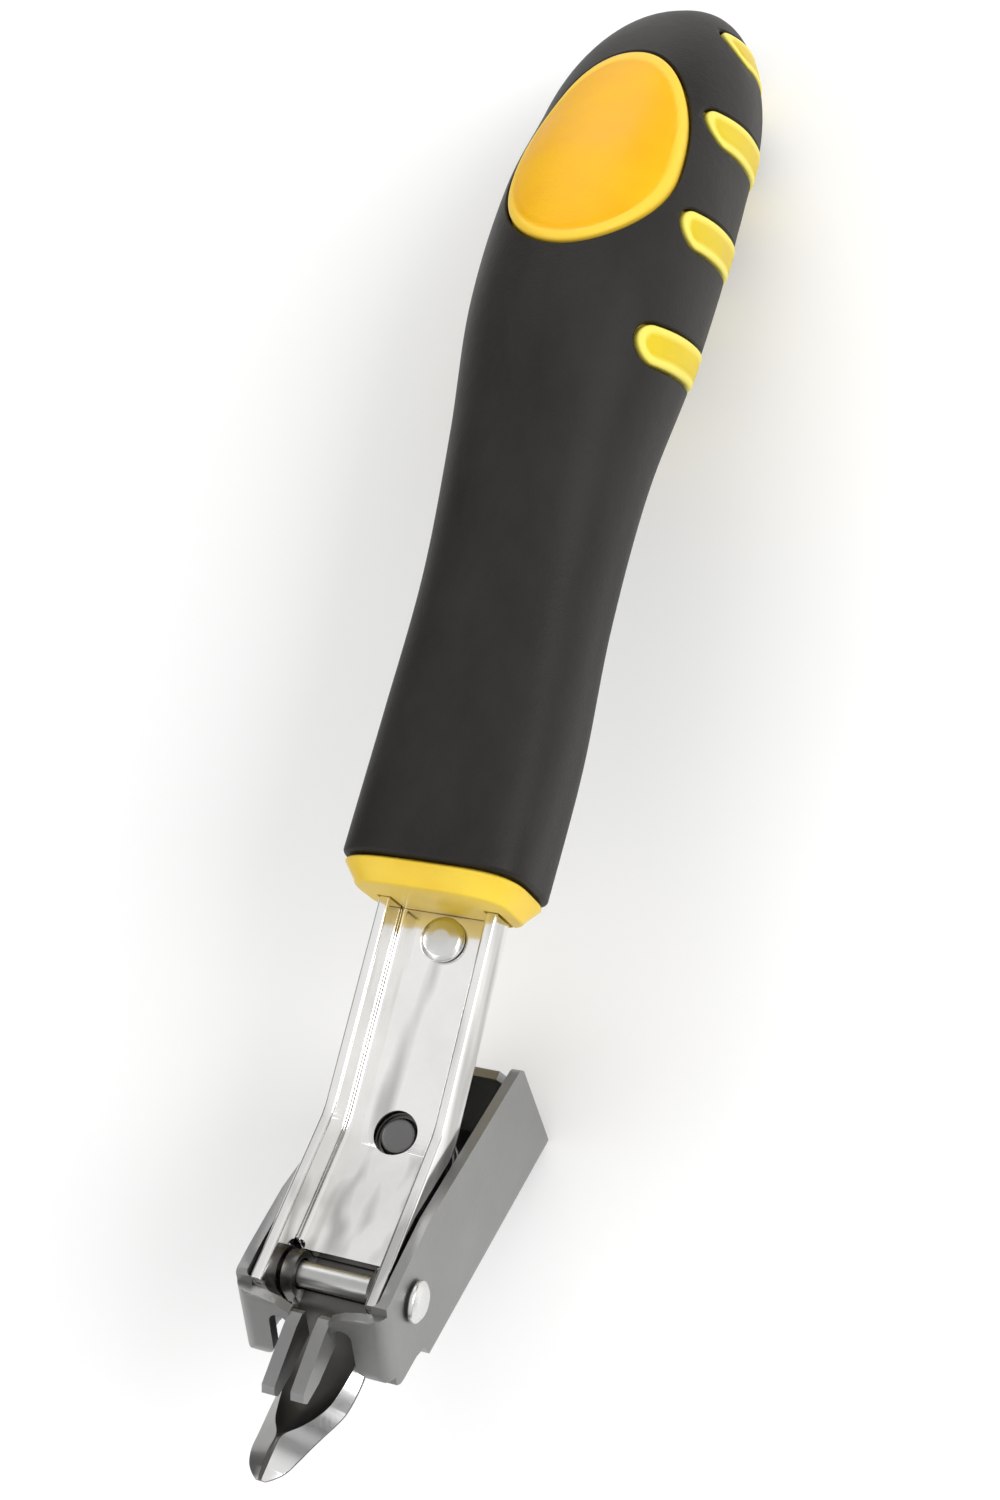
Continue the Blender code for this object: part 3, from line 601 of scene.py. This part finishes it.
def make_shank(look):
    """The bent channel. Its floor stops short of the pivot, and its flanges end in rounded ears."""
    section_points = channel_section()
    rings = [[(x, SHANK_TOP, up) for x, up in section_points]]
    rings += [[(x, y, up) for x, up in section_points] for y in (70.0, 45.0, 28.0, 15.0)]
    for y, z, out_y, out_z in shank_path():
        rings.append([(x, y + up * out_y, z + up * out_z) for x, up in section_points])
    for along in (8.0, 16.0, SHANK_END):
        rings.append([(x, *lower(along, up)) for x, up in section_points])
    obj = new_object("shank_channel", loft(rings))
    pin, inner, past = (PIN_ALONG, PIN_UP), SHANK_HALF - SHANK_SHEET, SHANK_END + 10
    ear = [lower(a, up) for a, up in arc(pin, EAR_RADIUS, 0, 356, 89)]
    carve(obj, [prism_x(ear, inner, SHANK_HALF), prism_x(ear, -SHANK_HALF, -inner)], "UNION")
    mouth = [lower(a, up) for a, up in ((FLOOR_END, -6), (past, -6), (past, 3), (FLOOR_END, 3))]
    nose = [(past, 5.2)] + arc(pin, NOSE_RADIUS, 50, -60, 40) + [(PIN_ALONG + 2, -9), (past, -9)]
    cuts = [prism_x(mouth, -inner, inner), prism_x([lower(a, up) for a, up in nose], -9.0, 9.0)]
    cuts += [pivot_hole(), rivet_hole(), cylinder(STUD_HOLE_RADIUS, stud_point(-6.0), stud_axis(), 14.0, 64)]
    for side in (1, -1):
        relief = Vector((side * (inner - 0.35), *lower(FLOOR_END - 0.2, -3.0)))
        cuts.append(cylinder(0.75, relief, (0.0, math.sin(SHANK_BEND), math.cos(SHANK_BEND)), 5.6, 32))
    carve(obj, cuts)
    soften(obj, 0.16, 2, 50.0)
    finish_piece(obj, look, "handle", ["shank"], 40.0, True)


HOLLOW_STEPS = (0.92, 0.8, 0.65, 0.5, 0.35, 0.18)  # places across the hollow, as shares of the rim
FACET_LIGHT = {0: 0.35, 2 * len(HOLLOW_STEPS) + 3: 1.0}  # the two ground faces of a section and how much painted light each keeps: the right one all, the left one partly painted shade; all other faces are painted shade


def blade_ring(place, half, edge, lip, rim_half, rim_up, hollow, back):
    """A section across the blade: edges ground from the rims down to a lip, and a hollow between."""
    drop = rim_up - hollow
    top = [(-half, edge), (-rim_half, rim_up)]
    top += [(-rim_half * k, rim_up - drop * (1 - k**2.2)) for k in HOLLOW_STEPS]
    top += [(0.0, hollow)] + [(-x, up) for x, up in reversed(top)]
    keel = back + 0.15 * (edge - lip - back)
    below = [(half, edge - lip), (0.6 * half, keel), (0.0, back), (-0.6 * half, keel), (-half, edge - lip)]
    return [(x, *place(up)) for x, up in top + below]


def smooth_rows(rows, count):
    """More stations through rows of numbers, the first of which is the distance along."""
    out = []
    for k in range(len(rows) - 1):
        before, a, b, after = rows[max(k - 1, 0)], rows[k], rows[k + 1], rows[min(k + 2, len(rows) - 1)]
        for i in range(count):
            t = i / count
            row = []
            for p, q, r, s in zip(before, a, b, after):
                slope_q = (r - p) / max(b[0] - before[0], 1e-9) * (b[0] - a[0])
                slope_r = (s - q) / max(after[0] - a[0], 1e-9) * (b[0] - a[0])
                rise = slope_q * (t - 2 * t**2 + t**3) + slope_r * (t**3 - t**2)
                row.append(q + (r - q) * (3 * t**2 - 2 * t**3) + rise)
            out.append(row)
    return out + [list(rows[-1])]


def make_blade(look):
    """The fixed jaw: a strip behind the shank's floor that bends back and runs out into a ground beak."""
    top, back = -GAP, -GAP - BLADE_SHEET
    flat = (BLADE_HALF, top, BLADE_SHEET, 0.8 * BLADE_HALF, top, top, back)
    rings = [blade_ring(lambda up: (BLADE_TOP, up), *flat)]
    for y, z, out_y, out_z in shank_path():
        rings.append(blade_ring(lambda up: (y + up * out_y, z + up * out_z), *flat))
    beak = (  # along the lower section, half width, edge, lip, rim half width, rim, hollow, back
        (20.5, *flat),
        (22.5, 5.2, -0.8, 1.8, 4.3, -0.8, -0.8, -2.6),
        (24.5, 5.2, -2.2, 1.4, 4.6, -2.0, -2.1, -3.6),
        (26.5, 5.2, -3.7, 0.8, 4.2, -3.0, -3.2, -4.6),
        (29.0, 4.95, -4.6, 0.4, 3.7, -3.3, -3.9, -5.3),
        (31.7, 4.5, -4.8, 0.3, 3.2, -3.0, -4.0, -5.4),
        (33.6, 4.15, -3.9, 0.3, 2.6, -2.2, -3.4, -4.6),
        (35.5, 3.7, -2.8, 0.3, 1.7, -1.0, -2.1, -3.5),
        (37.3, 3.3, -1.8, 0.3, 0.4, 0.1, 0.1, -2.5),
        (39.4, 2.85, -0.7, 0.3, 0.35, 0.6, 0.6, -1.3),
        (41.0, 2.2, -0.2, 0.3, 0.3, 0.6, 0.6, -0.7),
        (42.0, 1.3, 0.1, 0.25, 0.25, 0.55, 0.55, -0.3),
        (42.5, 0.6, 0.2, 0.2, 0.2, 0.4, 0.4, -0.05),
    )
    for along, *numbers in smooth_rows(beak, 4):
        rings.append(blade_ring(lambda up, a=along: lower(a, up), *numbers))
    bm = loft(rings)
    # Each face's share of painted light: the ground facets keep the steel's light colour, the left one only
    # partly, and every other face is painted dark as shade.
    ground = bm.faces.layers.float.new("ground")
    count = len(rings[0])
    for k, face in enumerate(bm.faces):
        face[ground] = FACET_LIGHT.get(k % count, 0.0) if k // count < len(rings) - 1 else 0.0
    obj = new_object("jaw_beak", bm)
    radius, pin = PIN_RADIUS + GAP + 0.8, (PIN_ALONG, PIN_UP)
    foot = [(PIN_ALONG + radius, back + 0.3), (PIN_ALONG - radius, back + 0.3)]
    ear = [lower(a, up) for a, up in arc(pin, radius, 180, 0, 32) + foot]
    sides = (BLADE_HALF - 0.5, SHANK_HALF - SHANK_SHEET - GAP)
    carve(obj, [prism_x(ear, *sorted(side * x for x in sides)) for side in (1, -1)], "UNION")
    carve(obj, [pivot_hole(), cylinder(STUD_RADIUS + GAP, stud_point(-6.0), stud_axis(), 14.0)])
    soften(obj, 0.12, 2, 38.0)
    finish_piece(obj, look, "handle", ["jaw_blade"], 30.0, True)


def make_rivets(look):
    """The handle's rivet, the stud under the bend, the hinge pin and the stud on the lever's web."""
    back, front = -TONGUE_BACK - GAP, SHANK_SHEET + GAP
    head = [(0.0, back - 0.8), (2.0, back - 0.8), (2.8, back), (PIN_RADIUS, back), (PIN_RADIUS, front)]
    head += [(2.9, front), (2.9, front + 0.55), (2.3, front + 1.0), (1.2, front + 1.25), (0.0, front + 1.25)]
    rivet = new_object("tang_rivet", turned(head, (0.0, HANDLE_RIVET_Y, 0.0), (0, 0, 1)))
    finish_piece(rivet, look, "handle", ["handle_rivet"])
    seat = -GAP - BLADE_SHEET - GAP
    below = seat - SEAT_SHEET_UPPER
    stud = [(0.0, below - 2.5), (STUD_RADIUS - 0.5, below - 2.5), (STUD_RADIUS, below - 2.0)]
    stud += [(STUD_RADIUS, below), (SEAT_RADIUS, below), (SEAT_RADIUS, seat), (STUD_RADIUS, seat)]
    stud += [(STUD_RADIUS, SHANK_SHEET - 0.85), (STUD_RADIUS - 0.3, SHANK_SHEET - 0.65)]
    stud += [(0.0, SHANK_SHEET - 0.55)]
    peg = new_object("spring_peg", turned(stud, stud_point(0.0), stud_axis()))
    # The whole stud is painted darker: painted shade, as it sits down in its hole in the shank.
    mark(peg, "painted_shade", [1.0] * len(peg.data.vertices))
    finish_piece(peg, look, "handle", ["spring_stud"])
    reach = LEVER_OUTER + GAP
    half = [(PIN_RADIUS, reach), (2.5, reach), (2.4, reach + 0.5), (1.7, reach + 0.95), (0.8, reach + 1.15)]
    profile = [(0.0, -reach - 1.15)] + [(r, -a) for r, a in reversed(half)] + half + [(0.0, reach + 1.15)]
    pin = new_object("hinge_pin", turned(profile, (0.0, *PIVOT), (1, 0, 0)))
    # The pin's shaft between its heads is painted partly darker: painted shade between the flanges.
    mark(pin, "painted_shade", [0.4 if abs(v.co.x) < (reach + 0.1) * MM else 0.0 for v in pin.data.vertices])
    finish_piece(pin, look, "handle", ["pivot_pin"])
    top = GAP + SEAT_SHEET_LOWER
    low = [(0.0, -LEVER_SHEET + 0.1), (PIN_RADIUS, -LEVER_SHEET + 0.1), (PIN_RADIUS, GAP)]
    low += [(SEAT_RADIUS, GAP), (SEAT_RADIUS, top), (STUD_RADIUS, top), (STUD_RADIUS, 2.6)]
    low += [(STUD_RADIUS - 0.5, 3.1), (0.0, 3.1)]
    foot = new_object("lever_peg", turned(low, Vector((0.0, *lever(*SPRING_FOOT))), WEB_NORMAL))
    finish_piece(foot, look, "lever", ["lever_stud"])


# ---------------------------------------------------------------- lever and spring


def side_outline():
    """Outline of the lever from the side in u, v, from the heel corner round to the nose and back."""
    points = [(HEEL_U, WEB_V)]
    points += arc((CREST[0] - 1.8, CREST[1] - 2.0), 2.0, 18, 92, 10)
    points += [(6.0, 6.6), (-2.4, 5.2)]
    points += arc((TAB_U + 2.6, 2.0), 2.6, 105, 180, 10)
    points += arc((TAB_U + 2.8, -4.8), 2.8, 180, 268, 10)
    points += [(-1.0, -7.6), (1.0, -8.2), (2.2, -10.4), (WEB_START, WEB_V)]
    return points


def front_outline():
    """Half of the nose in x, v: the lobe beside the blade, and an arch from it to the prong."""
    root = PRONG_GAP + PRONG_SHEET - 0.1
    points = [(LEVER_OUTER + 1.0, 3.3), (LEVER_OUTER, 3.2), (6.2, 2.8), (4.2, 2.3), (root, 1.4), (root, -0.6)]
    points += arc((4.0, -0.6), 1.2, 180, 0, 16)
    points += arc((6.8, -4.7), 1.5, 180, 270, 10)
    return points + [(LEVER_OUTER, -6.0), (LEVER_OUTER + 1.0, -6.0)]


def prong_outline():
    root = TAB_U + LEVER_SHEET
    return ((root, 0.9), (root, -2.6), (TAB_U - 0.6, -3.0), (-11.0, -4.0), (-13.9, -4.2), (-14.6, -3.4),
            (-14.3, -2.4), (-11.6, -1.0), (TAB_U - 1.0, 0.7), (TAB_U + 0.6, 1.2))


def make_flap():
    """The heel's end flap, folded forward between the side walls, with its top corners cut back from them."""
    length = math.hypot(CREST[0] - HEEL_U, CREST[1] - WEB_V)
    along = ((CREST[0] - HEEL_U) / length, (CREST[1] - WEB_V) / length)
    half = LEVER_INNER + 0.4
    start, shoulder, end, notch = 0.6, length - 6.4, length - 2.6, 3.0
    outline = [(-half, start), (half, start), (half, shoulder), (half - notch, end)]
    outline += [(notch - half, end), (-half, shoulder)]
    rings = []
    for deep in (0.0, LEVER_SHEET):
        foot = (HEEL_U - along[1] * deep, WEB_V + along[0] * deep)
        rings.append([(x, *lever(foot[0] + along[0] * a, foot[1] + along[1] * a)) for x, a in outline])
    return loft(rings)


WALL_START = -4.2  # where the side walls turn in to the nose tabs, in u


def make_tab(side):
    """A nose tab: the side wall's fold inwards, cut to the nose's outline on its front."""
    turn, root = 2.1, PRONG_GAP + PRONG_SHEET - 0.3
    centre, end = (TAB_U + turn, LEVER_OUTER - turn), WALL_START + 0.3
    plan = [(end, LEVER_OUTER)] + arc(centre, turn, 90, 180, 12)
    plan += [(TAB_U, root), (TAB_U + LEVER_SHEET, root)]
    plan += arc(centre, turn - LEVER_SHEET, 180, 90, 6) + [(end, LEVER_INNER)]
    tab = new_object("tab", loft([[(side * x, *lever(u, v)) for u, x in plan] for v in (-9.0, 9.0)]))
    front = [(side * x, v) for x, v in front_outline()]
    faces = (TAB_U - 1.0, TAB_U + LEVER_SHEET + 0.05)
    keep = new_object("keep", loft([[(x, *lever(u, v)) for x, v in front] for u in faces]))
    near, far, high = side * (LEVER_INNER - 1.2), side * (LEVER_OUTER + 1), 9.5
    wall = ((near, -high), (far, -high), (far, high), (near, high))
    behind = (TAB_U + LEVER_SHEET, WALL_START + 1.0)
    carve(keep, [loft([[(x, *lever(u, v)) for x, v in wall] for u in behind])], "UNION")
    combine(tab, keep, "INTERSECT")
    return tab


def make_lever(look):
    """One pressing: web and side walls, the nose tabs folded in from them, the prongs and the heel's flap."""
    fold, tight = LEVER_SHEET + 0.5, 0.5
    across = [(LEVER_OUTER, 9.0)] + arc((LEVER_OUTER - fold, WEB_V + fold), fold, 0, -90, 10)
    across += [(-x, v) for x, v in reversed(across)]
    inside = arc((-LEVER_INNER + tight, WEB_V + LEVER_SHEET + tight), tight, 180, 270, 5)
    inside = [(-LEVER_INNER, 9.0)] + inside
    across += inside + [(-x, v) for x, v in reversed(inside)]
    body = loft([[(x, *lever(u, v)) for x, v in across] for u in (WALL_START, HEEL_U)])
    obj = new_object("lever_pressing", body)
    for tab in [make_tab(side) for side in (1, -1)]:
        combine(obj, tab, "UNION")
    carve(obj, [lever_prism(side_outline(), -12.0, 12.0)], "INTERSECT")
    extra = [make_flap()]
    for side in (1, -1):
        extra.append(lever_prism(prong_outline(), side * PRONG_GAP, side * (PRONG_GAP + PRONG_SHEET)))
    carve(obj, extra, "UNION")
    foot = Vector((0.0, *lever(*SPRING_FOOT)))
    carve(obj, [pivot_hole(), cylinder(PIN_RADIUS + GAP, foot - WEB_NORMAL * 5, WEB_NORMAL, 10.0)])
    soften(obj, 0.2, 3, 40.0)
    finish_piece(obj, look, "lever", ["jaw_lever"], 40.0, True)


def spring_ends():
    start = stud_point(-3 * GAP - BLADE_SHEET - SEAT_SHEET_UPPER - SPRING_WIRE)
    return start, Vector((0.0, *lever(*SPRING_FOOT))) + WEB_NORMAL * (SEAT_SHEET_LOWER + GAP + SPRING_WIRE)


def spring_axis(t):
    """Point and direction on the spring's bent centre line, a curve that leaves both seats squarely."""
    start, foot = spring_ends()
    reach = (foot - start).length * 0.45
    first, second = start - stud_axis() * reach, foot + WEB_NORMAL * reach
    point = (1 - t) ** 3 * start + 3 * t * (1 - t) ** 2 * first + 3 * t**2 * (1 - t) * second + t**3 * foot
    slope = (1 - t) ** 2 * (first - start) + 2 * t * (1 - t) * (second - first) + t**2 * (foot - second)
    return point, slope.normalized()


def make_spring(look):
    """A closed-end compression coil between the two pegs."""
    start, foot = spring_ends()
    length, turns, flat = (foot - start).length, SPRING_TURNS, 0.75
    count, sides = int(turns * 28), 12
    wire = arc((0, 0), SPRING_WIRE, 0, 360 - 360 / sides, sides - 1)
    settle = 2 * SPRING_WIRE * flat / length
    rings = []
    for i in range(count + 1):
        turned_by = turns * i / count
        t = min(max((turned_by - flat) / (turns - 2 * flat), 0.0), 1.0)
        t = settle * min(turned_by / flat, 1.0) + (1 - 2 * settle) * t
        t += settle * min(max((turned_by - turns) / flat + 1, 0.0), 1.0)
        point, slope = spring_axis(t)
        across = Vector((1.0, 0.0, 0.0))
        up = slope.cross(across)
        angle = 2 * math.pi * turned_by
        out = across * math.cos(angle) + up * math.sin(angle)
        centre = point + out * SPRING_RADIUS
        rings.append([centre + out * a + slope * b for a, b in wire])
    obj = new_object("coil_spring", loft(rings))
    finish_piece(obj, look, None, ["return_spring"], 40.0)
    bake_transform(obj)


# ---------------------------------------------------------------- materials


def node(tree, kind, inputs=(), **settings):
    """A node with its settings, and its inputs set to values or linked to sockets."""
    made = tree.nodes.new(kind)
    for key, value in settings.items():
        setattr(made, key, value)
    for key, value in dict(inputs).items():
        if isinstance(value, bpy.types.NodeSocket):
            tree.links.new(value, made.inputs[key])
        else:
            made.inputs[key].default_value = value
    return made


EVEN, DRAWN = (1.0, 1.0, 1.0), (1.0, 0.02, 1.0)  # how far each axis of a noise is stretched


def surface(name, roughness, metallic, **uniform):
    """A Principled material, its node tree and its shader."""
    made = bpy.data.materials.new(name)
    made.use_nodes = True
    shader = made.node_tree.nodes["Principled BSDF"]
    shader.inputs["Roughness"].default_value = roughness
    shader.inputs["Metallic"].default_value = metallic
    for key, value in uniform.items():
        shader.inputs[key.replace("_", " ")].default_value = value
    return made, made.node_tree, shader


def grain(tree, scale, stretch=EVEN, detail=2.0, roughness=0.5):
    """Noise fixed to the object, in features a metre, stretched along an axis by a factor under 1."""
    place = node(tree, "ShaderNodeTexCoord").outputs["Object"]
    mapped = node(tree, "ShaderNodeMapping", {"Vector": place, "Scale": stretch})
    inputs = {"Vector": mapped.outputs["Vector"], "Scale": scale, "Detail": detail, "Roughness": roughness}
    return node(tree, "ShaderNodeTexNoise", inputs).outputs["Fac"]


def ramp(tree, factor, *stops):
    """A colour ramp from (position, colour or grey) stops."""
    made = node(tree, "ShaderNodeValToRGB", {"Fac": factor})
    elements = made.color_ramp.elements
    while len(elements) < len(stops):
        elements.new(0.5)
    for element, (place, color) in zip(elements, stops):
        element.position = place
        element.color = (*color, 1.0) if isinstance(color, tuple) else (color, color, color, 1.0)
    return made.outputs["Color"]


def bump(tree, height, depth, below=None):
    """A bump of a depth in millimetres, laid over another."""
    made = node(tree, "ShaderNodeBump", {"Height": height, "Distance": depth * MM, "Strength": 1.0})
    if below:
        tree.links.new(below, made.inputs["Normal"])
    return made.outputs["Normal"]


def mix(tree, factor, a, b):
    made = node(tree, "ShaderNodeMix", data_type="RGBA")
    for socket, value in ((made.inputs[0], factor), (made.inputs[6], a), (made.inputs[7], b)):
        if isinstance(value, bpy.types.NodeSocket):
            tree.links.new(value, socket)
        elif isinstance(value, tuple):
            socket.default_value = (*value, 1.0)
        else:
            socket.default_value = value
    return made.outputs[2]


def rubber_look():
    """Satin thermoplastic rubber: fine spark-eroded grain, with faint handling marks."""
    made, tree, shader = surface("black_rubber", 0.55, 0.0, Specular_IOR_Level=0.2)
    marks = grain(tree, 90.0, (1.0, 0.5, 1.0), 6.0, 0.6)
    color = ramp(tree, marks, (0.3, (0.012, 0.011, 0.0098)), (0.72, (0.024, 0.022, 0.0195)))
    tree.links.new(color, shader.inputs["Base Color"])
    tree.links.new(ramp(tree, marks, (0.3, 0.46), (0.75, 0.6)), shader.inputs["Roughness"])
    fine = bump(tree, grain(tree, 3200.0, detail=3.0), 0.05)
    tree.links.new(bump(tree, grain(tree, 500.0, detail=4.0), 0.06, fine), shader.inputs["Normal"])
    return made


def plastic_look(name, deep, light, edge, roughness):
    """Moulded yellow plastic with a fine eggshell grain, and a painted highlight: a paler colour on the pads'
    edge bead.
    """
    made, tree, shader = surface(name, roughness, 0.0, Specular_IOR_Level=0.22)
    cloud = grain(tree, 110.0, detail=5.0)
    body = ramp(tree, cloud, (0.32, deep), (0.68, light))
    highlight_share = node(tree, "ShaderNodeAttribute", attribute_name="pad_highlight").outputs["Fac"]
    # The paler colour on the bead is a painted highlight.
    tree.links.new(mix(tree, highlight_share, body, edge), shader.inputs["Base Color"])
    sheen = ramp(tree, cloud, (0.3, roughness - 0.06), (0.7, roughness + 0.08))
    tree.links.new(sheen, shader.inputs["Roughness"])
    fine = bump(tree, grain(tree, 2600.0, detail=2.0), 0.03)
    tree.links.new(bump(tree, grain(tree, 260.0, detail=2.0), 0.05, fine), shader.inputs["Normal"])
    return made


def metal_look(name, dark, light, sheen, streak, wave, stretch=EVEN, pits=0.0, reflection_bands=0.0):
    """Plated or bare steel: drawing streaks along the tool, a slow waviness, small pits and smudges.

    Sheen is the roughness of its cleanest and its dullest places. Streak, wave and pits are depths in
    millimetres, stretch draws the streaks out, and the last argument is the strength of darker stripes along
    the tool, painted reflections of the darker room."""
    made, tree, shader = surface(name, sum(sheen) / 2, 1.0)
    smudge = grain(tree, 70.0, detail=6.0, roughness=0.65)
    color = ramp(tree, smudge, (0.3, dark), (0.7, light))
    if reflection_bands:
        # Painted reflection: darker stripes along the tool, mixed into the base colour.
        painted_reflections = ramp(tree, grain(tree, 230.0, (1.0, 0.12, 1.0), 2.0), (0.34, 1.0), (0.5, 0.0))
        share = node(tree, "ShaderNodeMath", {0: painted_reflections, 1: reflection_bands}, operation="MULTIPLY").outputs[0]
        color = mix(tree, share, color, tuple(0.45 * c for c in dark))
    tree.links.new(color, shader.inputs["Base Color"])
    tree.links.new(ramp(tree, smudge, (0.35, sheen[0]), (0.72, sheen[1])), shader.inputs["Roughness"])
    normal = bump(tree, grain(tree, 900.0, stretch, 3.0), streak)
    normal = bump(tree, grain(tree, 190.0, (1.0, 0.10, 0.6), 1.0), wave, normal)
    if pits:
        normal = bump(tree, ramp(tree, grain(tree, 1500.0), (0.3, 0.0), (0.42, 1.0)), pits, normal)
    tree.links.new(normal, shader.inputs["Normal"])
    return made


def tone(made, attribute, color, rough, reverse=False):
    """Takes a metal's colour and roughness over to others where a mesh attribute is 1, or where it isn't."""
    tree, shader = made.node_tree, made.node_tree.nodes["Principled BSDF"]
    share = node(tree, "ShaderNodeAttribute", attribute_name=attribute).outputs["Fac"]
    if reverse:
        share = node(tree, "ShaderNodeMath", {0: 1.0, 1: share}, operation="SUBTRACT").outputs[0]
    for name, value in (("Base Color", color), ("Roughness", (rough, rough, rough))):
        source = shader.inputs[name].links[0].from_socket
        tree.links.new(mix(tree, share, source, value), shader.inputs[name])
    return made


# ---------------------------------------------------------------- stage


# The camera in the tool's frame, and its lens.
CAMERA_FROM = Vector((85.6, -19.4, 205.7))
CAMERA_AHEAD = Vector((-0.36448, 0.30222, -0.88080))
CAMERA_UP = Vector((-0.11037, 0.92518, 0.36312))
CAMERA_LENS = 43.0
# Each light's offset from the tool's middle and its width, in metres, and its power in watts.
LIGHTS = {
    "key": ((0.62, 0.05, 0.45), 0.45, 3.2),
    "fill": ((-0.60, -0.55, 0.50), 0.6, 2.0),
    "back": ((-0.25, 0.85, 0.35), 0.5, 2.0),
}


def make_floor():
    bm = bmesh.new()
    bmesh.ops.create_grid(bm, x_segments=8, y_segments=8, size=3.0)
    mesh = bpy.data.meshes.new("floor")
    bm.to_mesh(mesh)
    bm.free()
    floor = bpy.data.objects.new("floor", mesh)
    floor.location.z = CAD_BOX[0].z - 0.0002
    bpy.context.scene.collection.objects.link(floor)
    made, tree, shader = surface("floor_paint", 0.6, 0.0, Specular_IOR_Level=0.2)
    paper = ramp(tree, grain(tree, 6.0, detail=4.0), (0.3, (0.93, 0.93, 0.925)), (0.7, (0.95, 0.95, 0.945)))
    tree.links.new(paper, shader.inputs["Base Color"])
    mesh.materials.append(made)


def make_lights():
    """A pale studio: bright overhead, darker towards the left horizon, with a soft key from the right."""
    world = bpy.data.worlds.new("studio")
    world.use_nodes = True
    bpy.context.scene.world = world
    tree = world.node_tree
    place = node(tree, "ShaderNodeTexCoord").outputs["Generated"]
    height = node(tree, "ShaderNodeVectorMath", {0: place, 1: (0.22, -0.05, 0.97)}, operation="DOT_PRODUCT")
    steps = ((0.05, 0.10), (0.2, 0.22), (0.42, 0.72), (0.75, 0.86), (0.97, 0.9))
    sky = ramp(tree, height.outputs["Value"], *steps)
    tree.links.new(sky, tree.nodes["Background"].inputs["Color"])
    tree.nodes["Background"].inputs["Strength"].default_value = 1.0
    middle = (CAD_BOX[0] + CAD_BOX[1]) / 2
    for name, (offset, size, power) in LIGHTS.items():
        light = bpy.data.lights.new(name, "AREA")
        light.size, light.energy = size, power
        lamp = bpy.data.objects.new(name, light)
        lamp.location = middle + Vector(offset)
        lamp.rotation_mode = "QUATERNION"
        lamp.rotation_quaternion = (-Vector(offset)).to_track_quat("-Z", "Y")
        bpy.context.scene.collection.objects.link(lamp)


def make_camera():
    """Looks down on the tool from its right, as placed in the tool's own frame."""
    data = bpy.data.cameras.new("camera")
    data.lens, data.sensor_width, data.clip_start = CAMERA_LENS, 36.0, 0.01
    camera = bpy.data.objects.new("camera", data)
    turn = TOOL.to_3x3().normalized()
    back = -(turn @ CAMERA_AHEAD).normalized()
    right = (turn @ CAMERA_UP).cross(back).normalized()
    camera.matrix_world = Matrix.Translation(TOOL @ CAMERA_FROM) @ Matrix(
        (right, back.cross(right), back)).transposed().to_4x4()
    bpy.context.scene.collection.objects.link(camera)
    bpy.context.scene.camera = camera


def main():
    make_camera()
    # The third colour of each plastic look is the painted highlight on a pad's bead.
    yellow, pale = (0.78, 0.52, 0.04), (0.88, 0.70, 0.15)
    amber = plastic_look("amber_plastic", (0.80, 0.39, 0.001), (0.85, 0.45, 0.003), (0.88, 0.57, 0.05), 0.42)
    lemon = plastic_look("yellow_pad", (0.64, 0.46, 0.008), (0.70, 0.53, 0.014), (0.82, 0.70, 0.12), 0.42)
    # The chrome's darker stripes along the tool are painted reflections.
    chrome = metal_look("chromed_steel", (0.86, 0.85, 0.83), (0.97, 0.965, 0.95), (0.08, 0.15), 0.003, 0.09,
                        DRAWN, reflection_bands=0.7)
    hard = metal_look("hardened_steel", (0.62, 0.62, 0.62), (0.80, 0.80, 0.79), (0.14, 0.24), 0.006, 0.03,
                      DRAWN)
    rivet = metal_look("rivet_steel", (0.62, 0.62, 0.61), (0.74, 0.74, 0.73), (0.22, 0.32), 0.004, 0.02)
    satin = metal_look("satin_steel", (0.25, 0.25, 0.247), (0.32, 0.32, 0.316), (0.36, 0.46), 0.012, 0.02,
                       DRAWN, pits=0.01)
    wire = metal_look("spring_steel", (0.30, 0.30, 0.31), (0.42, 0.42, 0.43), (0.25, 0.38), 0.004, 0.01)
    make_sleeve(rubber_look())
    make_core(plastic_look("yellow_plastic", yellow, (0.84, 0.60, 0.06), pale, 0.34))
    make_pads({"amber_plastic": amber, "yellow_pad": lemon})
    make_shank(chrome)
    # The blade's faces outside the lit ground facets are painted near black: painted shade.
    make_blade(tone(hard, "ground", (0.11, 0.105, 0.10), 0.36, reverse=True))
    # Where this mask is set, the rivet steel turns dark grey and duller: painted shade.
    make_rivets(tone(rivet, "painted_shade", (0.17, 0.17, 0.17), 0.5))
    make_lever(satin)
    make_spring(wire)
    make_floor()
    make_lights()
    bpy.context.scene.view_settings.view_transform = "Standard"


main()
